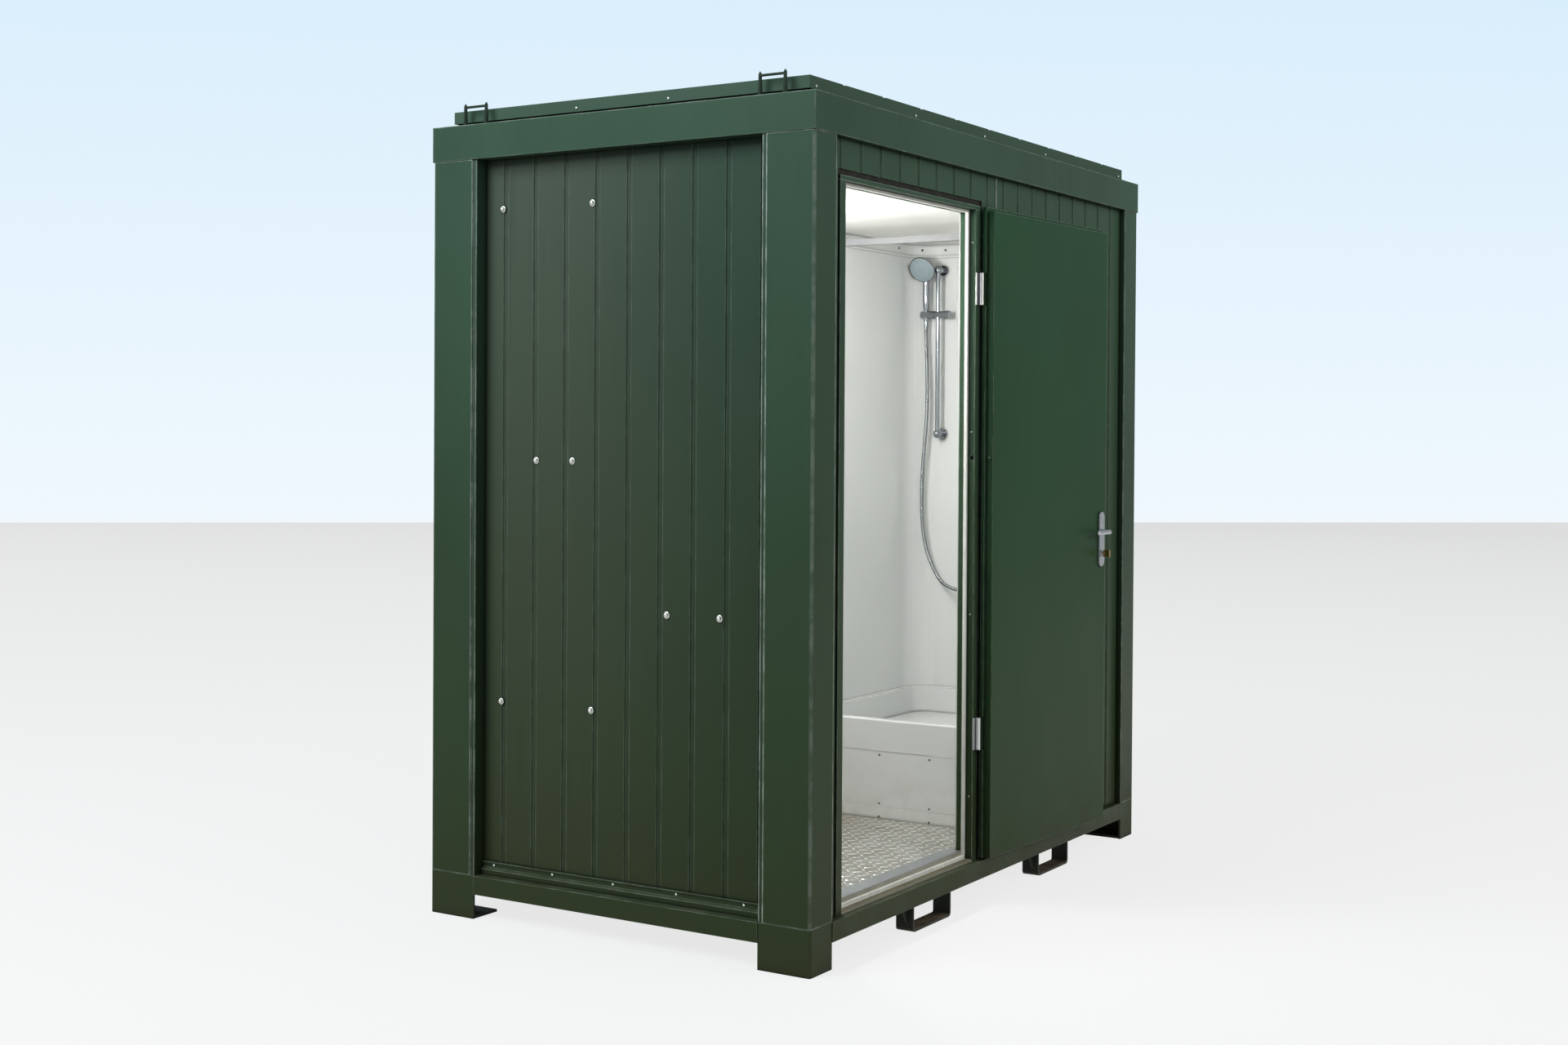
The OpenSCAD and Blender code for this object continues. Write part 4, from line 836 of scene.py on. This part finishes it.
def weld_bead(make, geometry, material, width=0.006, ripple=0.0022):
    """Overlapping ripples of a weld along a path."""
    line = make.add("GeometryNodeMeshToCurve", {0: geometry})
    dots = make.add("GeometryNodeCurveToPoints", {"Curve": line, "Length": ripple},
                    mode="LENGTH")
    drop = make.add("GeometryNodeMeshUVSphere", {"Segments": 8, "Rings": 6, "Radius": 0.5})
    uneven = make.add("FunctionNodeRandomValue", {2: 0.85, 3: 1.15, "Seed": 4}, data_type="FLOAT")
    size = make.times(width, uneven.outputs[1])
    return make.shape(make.add("GeometryNodeInstanceOnPoints", {
        "Points": dots, "Instance": drop,
        "Scale": make.add("ShaderNodeCombineXYZ", {0: size, 1: size, 2: size})}), material)


def fastener_heads(make, geometry, material, head):
    """Copies of one head on points, each turned to its own facing."""
    dots = make.add("GeometryNodeMeshToPoints", {"Mesh": geometry})
    facing, size = (make.add("GeometryNodeInputNamedAttribute", {"Name": name},
                             data_type="FLOAT_VECTOR") for name in ("facing", "size"))
    turn = make.add("FunctionNodeAlignRotationToVector", {"Vector": facing}, axis="Z")
    copy = make.add("GeometryNodeObjectInfo", {"Object": head}).outputs["Geometry"]
    return make.shape(make.add("GeometryNodeInstanceOnPoints", {
        "Points": dots, "Instance": copy, "Rotation": turn, "Scale": size}), material)


def cross_head():
    """A pan head of width and height 1 with a cross recess, standing on its foot."""
    rings, spokes, ball, recess = (0.5, 0.49, 0.42, 0.32, 0.2, 0.1, 0.02), 24, 0.56, 0.55
    profile = [(rings[0], 0)] + [(r, math.sqrt(1 - (r / ball) ** 2)) for r in rings[1:]]
    points = turned(profile, spokes)
    for i, point in enumerate(points):
        radius = rings[i // spokes]
        if radius < 0.05 or radius < 0.3 and i % (spokes // 4) == 0:
            point.z -= recess
    return points, grid_faces(len(rings), spokes)


def domed_cap():
    """A capped bolt of width and height 1: a washer with a round cap on it."""
    profile = ((0.5, 0), (0.5, 0.12), (0.46, 0.22), (0.37, 0.27), (0.36, 0.37), (0.33, 0.65),
               (0.25, 0.86), (0.13, 0.97), (0.01, 1.0))
    turns = 28
    return turned(profile, turns), grid_faces(len(profile), turns)


def make_fasteners(name, shape, places, material, *replaced):
    """A set of like fasteners, in the places of the frame's own ones."""
    points, faces = shape()
    head = new_piece("head", points, faces, material, smooth=True)
    dots = new_piece(name, [place[0] for place in places], [], material)
    for label, vectors in (("facing", [place[1] for place in places]),
                           ("size", [(wide, wide, tall) for _, _, wide, tall in places])):
        values = dots.data.attributes.new(label, "FLOAT_VECTOR", "POINT").data
        values.foreach_set("vector", [number for vector in vectors for number in vector])
    shaped(dots, fastener_heads, material, head=head)
    dots.data.set_sharp_from_angle(angle=math.radians(50))
    bpy.data.objects.remove(head)
    return settle(dots, "cabin", "bolt_zinc", *replaced)


def make_small_fixings(bright, dark):
    """Capped bolts on the end wall, bright screws outside and dark ones in the shower."""
    low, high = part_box("access_panels")
    proud, top, side = 0.01, 0.5, 0.6
    screws = head_places("sheet_screws")
    inside = [p for p in screws if low.x - proud < p[0].x < high.x and p[0].z < top
              and abs(p[0].y - MIDDLE_Y) < side]
    outside = [p for p in screws if p not in inside]
    band, size = 2278, (0.009, 0.0022)
    corner = Vector((-1, -1, 0)).normalized()
    inside += [(mm(1092, along, band), (-1, 0, 0), *size) for along in (60, -95, -230, -400)]
    inside += [(mm(along, 182, band), (0, -1, 0), *size) for along in (928, 640, 390)]
    inside += [(mm(1056.2, 146.2, band), corner, *size)]
    make_fasteners("sheet_screw_heads", cross_head, outside, bright, "sheet_screws")
    make_fasteners("shower_screw_heads", cross_head, inside, dark)
    make_fasteners("capped_bolts", domed_cap, head_places("wall_bolts"), bright, "wall_bolts")


def make_weld_beads(material):
    """Beads round the feet of the lifting bails and along the tops of the fork straps."""
    paths, leg, ring, clear = [], 0.014, 0.0075, 0.004
    angles = [k * math.pi / 8 for k in range(17)]
    for low, high, points in islands("lifting_bails"):
        x, inset = (low.x + high.x) / 2, min(high.x - low.x, leg) / 2
        for y in (low.y + inset, high.y - inset):
            paths.append([(x + ring * math.cos(a), y + ring * math.sin(a), low.z + 0.001)
                          for a in angles])
    for low, high, points in islands("fork_straps"):
        if high.x - low.x > 0.1:
            paths += [[(x, y, high.z - 0.002) for y in (low.y + clear, high.y - clear)]
                      for x in (low.x, high.x)]
    beads = shaped(path_piece("weld_beads", paths), weld_bead, material, width=0.005, ripple=0.002)
    settle(beads, "cabin", "moss_paint")


def make_door_seal(material):
    """A lipped seal round the door opening, in the place of the plain one."""
    low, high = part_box("door_gasket")
    wide, foot, deep = 0.009, 0.013, high.y - low.y
    profile = ((0, 1), (0, 0.15), (0.06, 0), (0.34, 0), (0.4, 0.08), (0.5, 0.14), (0.56, 0.08),
               (0.62, 0), (0.94, 0), (1, 0.15), (1, 1))
    points = []
    for inward, depth in profile:
        y = low.y + depth * deep
        left, right = low.x + inward * wide, high.x - inward * wide
        top, bottom = high.z - inward * wide, low.z + inward * foot
        points += [(left, y, bottom), (right, y, bottom), (right, y, top), (left, y, top)]
    faces = grid_faces(len(profile), 4, ring=True)
    seal = outward(new_piece("door_seal", points, faces, material))
    settle(seal, "cabin", "seal_white", "door_gasket")


def make_threshold(strip_metal, rubber):
    """A flat strip inside the door and a ribbed rubber lip on the sill's step."""
    low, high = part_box("door_gasket")
    start, end, foot, top = high.y + 0.001, high.y + 0.058, FLOOR_Z + 0.0003, FLOOR_Z + 0.0027
    outline = ((start, foot), (start, foot + 0.0016), (start + 0.002, top), (end - 0.003, top),
               (end, foot + 0.0006), (end, foot))
    strip = prism("threshold_strip", outline, 0, low.x + 0.01, high.x - 0.01, strip_metal)
    settle(strip, "cabin", "tread_aluminium")
    step, base, ribs, clear = mm(0, 0, 143).z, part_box("door_sill")[0].y + 0.003, 4, 0.0008
    outline = [(base, step)]
    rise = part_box("door_leaf")[0].z - clear - step
    pitch = (low.y - 0.002 - base) / ribs
    for k in range(ribs):
        at = base + k * pitch
        outline += [(at, step + rise * 0.9), (at + pitch * 0.45, step + rise),
                    (at + pitch * 0.55, step + rise * 0.3), (at + pitch * 0.95, step + rise * 0.3)]
    outline += [(base + ribs * pitch, step)]
    lip = prism("sill_lip", outline, 0, low.x + 0.001, high.x - 0.001, rubber)
    settle(lip, "cabin", "tread_aluminium")


def make_curtain_header(material):
    """A folded track for the curtain across the shower, in the place of the plain rail."""
    low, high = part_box("curtain_rail")
    x, z = (low.x + high.x) / 2, (low.z + high.z) / 2
    outer, tall, lip, thick = 0.012, 0.0115, 0.007, 0.0015
    half = [(outer, -tall), (outer - lip, -tall), (outer - lip, thick - tall),
            (outer - thick, thick - tall), (outer - thick, tall - thick)]
    half = [(-across, up) for across, up in half] + half[::-1] + [(outer, tall), (-outer, tall)]
    outline = [(x + across, z + up) for across, up in half]
    track = prism("curtain_track", outline, 1, low.y, high.y, material)
    settle(track, "cabin", "chrome", "curtain_rail")


# Parts of the hand shower, from the middle of its holder
HANDSET = mm(1040, 118, 2016)
SPRAY_MIDDLE = HANDSET + Vector((-0.030, 0, 0.184))
SPRAY_FACING = Vector((-0.866, 0, -0.5))


def tube(name, places, radii, material):
    """A round grip along places in one upright plane, with a radius at each, in millimetres."""
    points, sides = [], 28
    for i, place in enumerate(places):
        along = (places[min(i + 1, len(places) - 1)] - places[max(i - 1, 0)]).normalized()
        across = Vector((0, 1, 0))
        other = across.cross(along)
        for k in range(sides):
            angle = 2 * math.pi * k / sides
            points.append(place + (other * math.cos(angle) + across * math.sin(angle))
                          * radii[i] / 1000)
    return outward(new_piece(name, points, grid_faces(len(places), sides), material, smooth=True))


def make_hand_shower(chrome, face, rubber):
    """Grip, head shell, grey spray face and its nozzles."""
    grip = [(0, -34, 8), (0, -26, 8), (0, -24.5, 9.4), (0, -21, 10.4), (0, 17, 10.4), (0, 22, 11.4),
            (0, 30, 13), (0, 55, 14.2), (0, 85, 15), (0, 115, 14.8), (-1, 135, 14.2),
            (-5, 152, 13.4), (-11, 166, 12.8), (-19, 178, 12), (-27, 186, 10.5)]
    handle = tube("shower_grip", [HANDSET + Vector((x / 1000, 0, z / 1000)) for x, z, r in grip],
                  [r for x, z, r in grip], chrome)
    shell = lathe("shower_head", ((0.5, -14), (14, -13.4), (28, -11.6), (40, -7.6), (48, -1.6),
                                  (53, 5), (55, 9.5), (54.6, 12.4), (53, 14), (51, 14),
                                  (50.4, 12.6)),
                  SPRAY_MIDDLE, SPRAY_FACING, chrome, 56)
    plate = lathe("spray_face", ((50.6, 12), (50.6, 12.8), (49, 13.6), (30, 14.1), (29.4, 13.5),
                                 (28.6, 13.5), (28, 14.2), (12, 14.6), (0.5, 14.7)),
                  SPRAY_MIDDLE, SPRAY_FACING, face, 56)
    stand, proud, size = stand_on(SPRAY_MIDDLE, SPRAY_FACING), 13.8, (0.0034, 0.0016)
    places = [(stand @ (point / 1000), SPRAY_FACING, *size)
              for radius, count in ((8, 6), (17, 12), (35, 22), (43, 28))
              for point in turned([(radius, proud)], count)]
    nozzles = make_fasteners("spray_nozzles", domed_cap, places, rubber)
    settle(handle, "handset", "silver_plastic", "hand_shower")
    for piece in (shell, plate, nozzles):
        settle(piece, "handset", "silver_plastic")


def make_silicone(material):
    """A bead of sealant where the lining stands on the tray."""
    rim, corner, front, back, near, far = 522, 118, 185, 1089, -627, 179
    path = [mm(front, near, rim)]
    for middle, start in ((near + corner, -90), (far - corner, 0)):
        angles = [math.radians(a) for a in range(start, start + 91, 9)]
        path += [mm(back - corner + corner * math.cos(a), middle + corner * math.sin(a), rim)
                 for a in angles]
    path.append(mm(front, far, rim))
    bead = shaped(path_piece("silicone_bead", [path]), ribbed_hose, material,
                  diameter=0.006, rib_pitch=0.02, rib_depth=0.0002)
    settle(bead, "cabin", "white_acrylic")


def smooth_route(points, steps):
    """Points of a smooth curve through a route."""
    points = [Vector(p) for p in points]
    last = len(points) - 1
    curve = []
    for i in range(last):
        a, b, c, d = (points[max(i - 1, 0)], points[i], points[i + 1], points[min(i + 2, last)])
        for k in range(steps):
            t = k / steps
            curve.append(0.5 * (2 * b + (c - a) * t + (2 * a - 5 * b + 4 * c - d) * t ** 2
                                + (3 * b - a - 3 * c + d) * t ** 3))
    return curve + [points[last]]


def route_length(points):
    """Length along a line of points."""
    return sum((b - a).length for a, b in zip(points, points[1:]))


# The route of the hose in the part's source, from the hand shower down and up to the mixer
HOSE_ROUTE = [mm(*p) for p in (
    (1040, 118, 1981.7), (1040, 118, 1950), (1038, 115, 1885), (1036, 110, 1774),
    (1032, 107, 1660), (1030, 111, 1555), (1030, 121, 1450), (1030, 126, 1362),
    (1030, 127, 1257), (1030, 120, 1152), (1030, 103, 1072), (1030, 73, 1004),
    (1030, 40, 956), (1031, 3, 932), (1032, -35, 922), (1034, -90, 920), (1035, -150, 929),
    (1035, -200, 951), (1035, -230, 980), (1035, -240, 1005), (1035, -240, 1021))]


def make_hose(material, chrome):
    """The wound shower hose between the hand shower and the mixer, with its two nuts."""
    cone = ((8.2, 0.2), (9.4, 0.6), (9.4, 7), (8.8, 7.6), (9.2, 8.4), (8.3, 15), (7.7, 16),
            (7.5, 16))
    nuts = [lathe("hose_nut_top", cone, HOSE_ROUTE[0], (0, 0, -1), chrome),
            lathe("hose_nut_mixer", cone, HOSE_ROUTE[-1], (0, 0, -1), chrome)]
    for nut, body in zip(nuts, ("slider", "cabin")):
        settle(nut, body, "chrome")
    sizes = settings()[2]
    route = smooth_route(HOSE_ROUTE, 6)
    hose = shaped(path_piece("hose_winding", [route]), ribbed_hose, material,
                  diameter=sizes.diameter, rib_pitch=sizes.rib_pitch, rib_depth=sizes.rib_depth)
    low, high = HOSE_ROUTE[-1] + Vector((0, 0, 0.04)), HOSE_ROUTE[2]
    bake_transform(hose)
    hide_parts("shower_hose")


def make_tread_bars(material):
    """Raised bars of the floor plate in front of the shower."""
    sizes = settings()[1]
    low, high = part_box("tread_plate")
    inset, top = 0.006, high.z - 0.0002
    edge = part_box("access_panels")[0].x - inset
    corners = [(low.x + inset, low.y + inset, top), (edge, low.y + inset, top),
               (edge, high.y - inset, top), (low.x + inset, high.y - inset, top)]
    bars = new_piece("tread_bars", corners, [(0, 1, 2, 3)], material)
    shaped(bars, tread_bars, material, pitch=sizes.pitch, length=sizes.length,
           width=sizes.width, height=sizes.height)
    settle(bars, "cabin", "tread_aluminium")


# Camera, floor and lamps

CAMERA_PLACE = mm(-5881.6, -3537.6, 1539.1)
CAMERA_YAW, CAMERA_PITCH, CAMERA_ROLL = (math.radians(a) for a in (58.01, 0.703, 0.344))
PHOTO_WIDTH, FOCAL_PIXELS, RISE_PIXELS = 1920, 2384.3, -80
FLOOR_END = (Vector((14.36, 24.30, 0)), Vector((31.75, 3.18, 0)))


def place_camera():
    """The camera of the photograph."""
    lens = bpy.data.cameras.new("Photo camera")
    lens.sensor_width = 36
    lens.lens = FOCAL_PIXELS * lens.sensor_width / PHOTO_WIDTH
    lens.shift_y = RISE_PIXELS / PHOTO_WIDTH
    lens.clip_end = 200
    camera = linked("Photo camera", lens)
    camera.matrix_world = (
        Matrix.Translation(CAMERA_PLACE) @ Matrix.Rotation(-CAMERA_YAW, 4, "Z")
        @ Matrix.Rotation(math.pi / 2 - CAMERA_PITCH, 4, "X")
        @ Matrix.Rotation(CAMERA_ROLL, 4, "Z"))
    bpy.context.scene.camera = camera


def seen_colour(name, near, far, axis, low, high, ground, shade=0.85):
    """A stage material: the camera and mirrors see its tint, and it throws back little light."""
    material = bpy.data.materials.new(name)
    material.use_nodes = True
    make = Nodes(material.node_tree)
    make.tree.nodes.clear()
    along = make.parts(make.place())[axis]
    colour = make.blend(make.span(along, low, high), near, far)
    path = make.add("ShaderNodeLightPath").outputs
    seen = make.math("MAXIMUM", path["Is Camera Ray"],
                     make.math("MAXIMUM", path["Is Glossy Ray"], path["Is Transmission Ray"]))
    shaded = make.add("ShaderNodeBsdfDiffuse", {"Color": make.blend(seen, ground, colour)})
    shown = make.add("ShaderNodeEmission", {"Color": colour, "Strength": 1.0})
    mixed = make.add("ShaderNodeMixShader", {0: make.times(seen, shade), 1: shaded, 2: shown})
    make.add("ShaderNodeOutputMaterial", {0: mixed})
    return material


def lamp(name, kind, place, power, colour):
    """A lamp of a kind at a place."""
    light = bpy.data.lights.new(name, kind)
    light.energy, light.color = power, colour
    source = linked(name, light)
    source.location = place
    return source


def soft_lamp(name, place, aim_height, power, colour):
    """A large square lamp that looks at the middle of the cabin."""
    source = lamp(name, "AREA", place, power, colour)
    source.data.shape, source.data.size = "SQUARE", 4.0
    aim = Vector((0, 0, aim_height)) - Vector(place)
    source.rotation_euler = aim.to_track_quat("-Z", "Y").to_euler()


def make_stage():
    """Pale floor, pale blue backdrop and plain soft lamps."""
    stage = settings()[3]
    scene = bpy.context.scene
    scene.view_settings.view_transform = "Standard"
    margin = (FLOOR_END[1] - FLOOR_END[0]) * 0.06
    left, right, rise = FLOOR_END[0] - margin, FLOOR_END[1] + margin, Vector((0, 0, 14))
    ground = tint(112, 108, 92)
    floor_tint = seen_colour("Pale floor", tint(247, 247, 247), tint(232, 232, 232), 0, -4, 26,
                             ground)
    floor = new_piece("floor", [left, (-9, 9, 0), (-9, -8, 0), (8, -8, 0), right],
                      [(0, 1, 2, 3, 4)], floor_tint)
    wall_tint = seen_colour("Pale sky", tint(240, 248, 254), tint(217, 238, 252), 2, 0, 9.5,
                            ground, 1.0)
    wall = new_piece("backdrop", [left, right, right + rise, left + rise], [(0, 1, 2, 3)],
                     wall_tint)
    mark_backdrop(floor, wall)
    world = bpy.data.worlds.new("Studio")
    world.use_nodes = True
    make = Nodes(world.node_tree)
    make.tree.nodes.clear()
    sky = make.add("ShaderNodeBackground", {"Color": tint(232, 240, 248),
                                            "Strength": stage.surround})
    make.add("ShaderNodeOutputWorld", {0: sky})
    scene.world = world
    soft_lamp("Key lamp", (-6, 2.5, 6.0), 1.4, stage.key_power, (0.9, 0.97, 1.0))
    soft_lamp("Fill lamp", (1.5, -8, 4.0), 1.2, stage.fill_power, (1.0, 0.96, 0.82))
    low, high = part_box("ceiling_light")
    below = ((low.x + high.x) / 2, (low.y + high.y) / 2, low.z - 0.16)
    bulb = lamp("Ceiling lamp", "POINT", below, stage.room_power, (1, 0.99, 0.97))
    bulb.data.shadow_soft_size = 0.09
    bulb.visible_camera = False
    place_camera()


# Operators, panel and registering

FINISHES = {}


class CABIN_OT_stage(bpy.types.Operator):
    """Makes the camera, the floor, the backdrop and the lamps"""
    bl_idname = "cabin.stage"
    bl_label = "Stage"

    def execute(self, context):
        make_stage()
        return {"FINISHED"}


class CABIN_OT_finishes(bpy.types.Operator):
    """Gives every node of the frame its finish"""
    bl_idname = "cabin.finishes"
    bl_label = "Finishes"

    def execute(self, context):
        FINISHES.update(dress_frame())
        return {"FINISHED"}


class CABIN_OT_hose(bpy.types.Operator):
    """Makes the wound shower hose and its nuts"""
    bl_idname = "cabin.hose"
    bl_label = "Shower hose"

    def execute(self, context):
        make_hose(satin_steel("Hose winding", (136, 140, 143), 0.3), FINISHES["chrome"])
        return {"FINISHED"}


class CABIN_OT_tread_bars(bpy.types.Operator):
    """Makes the raised bars of the floor plate"""
    bl_idname = "cabin.tread_bars"
    bl_label = "Tread bars"

    def execute(self, context):
        make_tread_bars(bar_metal())
        return {"FINISHED"}


class CABIN_OT_hand_shower(bpy.types.Operator):
    """Makes the hand shower with its spray face and nozzles"""
    bl_idname = "cabin.hand_shower"
    bl_label = "Hand shower"

    def execute(self, context):
        make_hand_shower(FINISHES["chrome"], plain_plastic("Spray face", (150, 164, 170), 0.4),
                         plain_plastic("Nozzle rubber", (96, 104, 110), 0.6))
        return {"FINISHED"}


class CABIN_OT_fixings(bpy.types.Operator):
    """Makes the screws, capped bolts and weld beads"""
    bl_idname = "cabin.fixings"
    bl_label = "Small fixings"

    def execute(self, context):
        make_small_fixings(satin_steel("Bolt metal", (218, 218, 210), 0.4),
                           satin_steel("Dark screw metal", (78, 78, 76), 0.4))
        make_weld_beads(FINISHES["enamel"])
        return {"FINISHED"}


class CABIN_OT_trims(bpy.types.Operator):
    """Makes the door seal, the threshold, the curtain track and the sealant"""
    bl_idname = "cabin.trims"
    bl_label = "Trims and seals"

    def execute(self, context):
        make_door_seal(soft_seal())
        make_threshold(satin_steel("Threshold metal", (176, 180, 184), 0.42),
                       plain_plastic("Sill rubber", (112, 106, 84), 0.7, 0.2, 0.2))
        make_curtain_header(plain_plastic("Track enamel", (88, 90, 92), 0.4))
        make_silicone(plain_plastic("Sealant", (232, 232, 230), 0.3))
        return {"FINISHED"}


class CABIN_PT_panel(bpy.types.Panel):
    """Lists the steps and settings of the cabin"""
    bl_label = "Sanitary cabin"
    bl_idname = "CABIN_PT_panel"
    bl_space_type = "VIEW_3D"
    bl_region_type = "UI"
    bl_category = "Cabin"

    def draw(self, context):
        for step in STEPS:
            self.layout.operator(step.bl_idname)
        for group in settings():
            for name in group.bl_rna.properties.keys():
                if name not in ("name", "rna_type"):
                    self.layout.prop(group, name)


STEPS = (CABIN_OT_stage, CABIN_OT_finishes, CABIN_OT_hose, CABIN_OT_tread_bars,
         CABIN_OT_hand_shower, CABIN_OT_fixings, CABIN_OT_trims)
GROUPS = {"cabin_paint": CabinPaint, "chequer_plate": ChequerPlate, "shower_hose": ShowerHose,
          "studio_stage": StudioStage}


def register():
    """Registers the settings, the steps and the panel."""
    for name, group in GROUPS.items():
        bpy.utils.register_class(group)
        setattr(bpy.types.Scene, name, bpy.props.PointerProperty(type=group))
    for kind in STEPS + (CABIN_PT_panel,):
        bpy.utils.register_class(kind)


def unregister():
    """Takes the settings, the steps and the panel out again."""
    for kind in (CABIN_PT_panel,) + STEPS[::-1]:
        bpy.utils.unregister_class(kind)
    for name, group in GROUPS.items():
        delattr(bpy.types.Scene, name)
        bpy.utils.unregister_class(group)


def main():
    """Registers everything, runs the steps in order and works out the box round what is shown."""
    register()
    for step in STEPS:
        family, name = step.bl_idname.split(".")
        getattr(getattr(bpy.ops, family), name)()
    visual_box = [list(corner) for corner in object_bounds()]


if __name__ == "__main__":
    main()
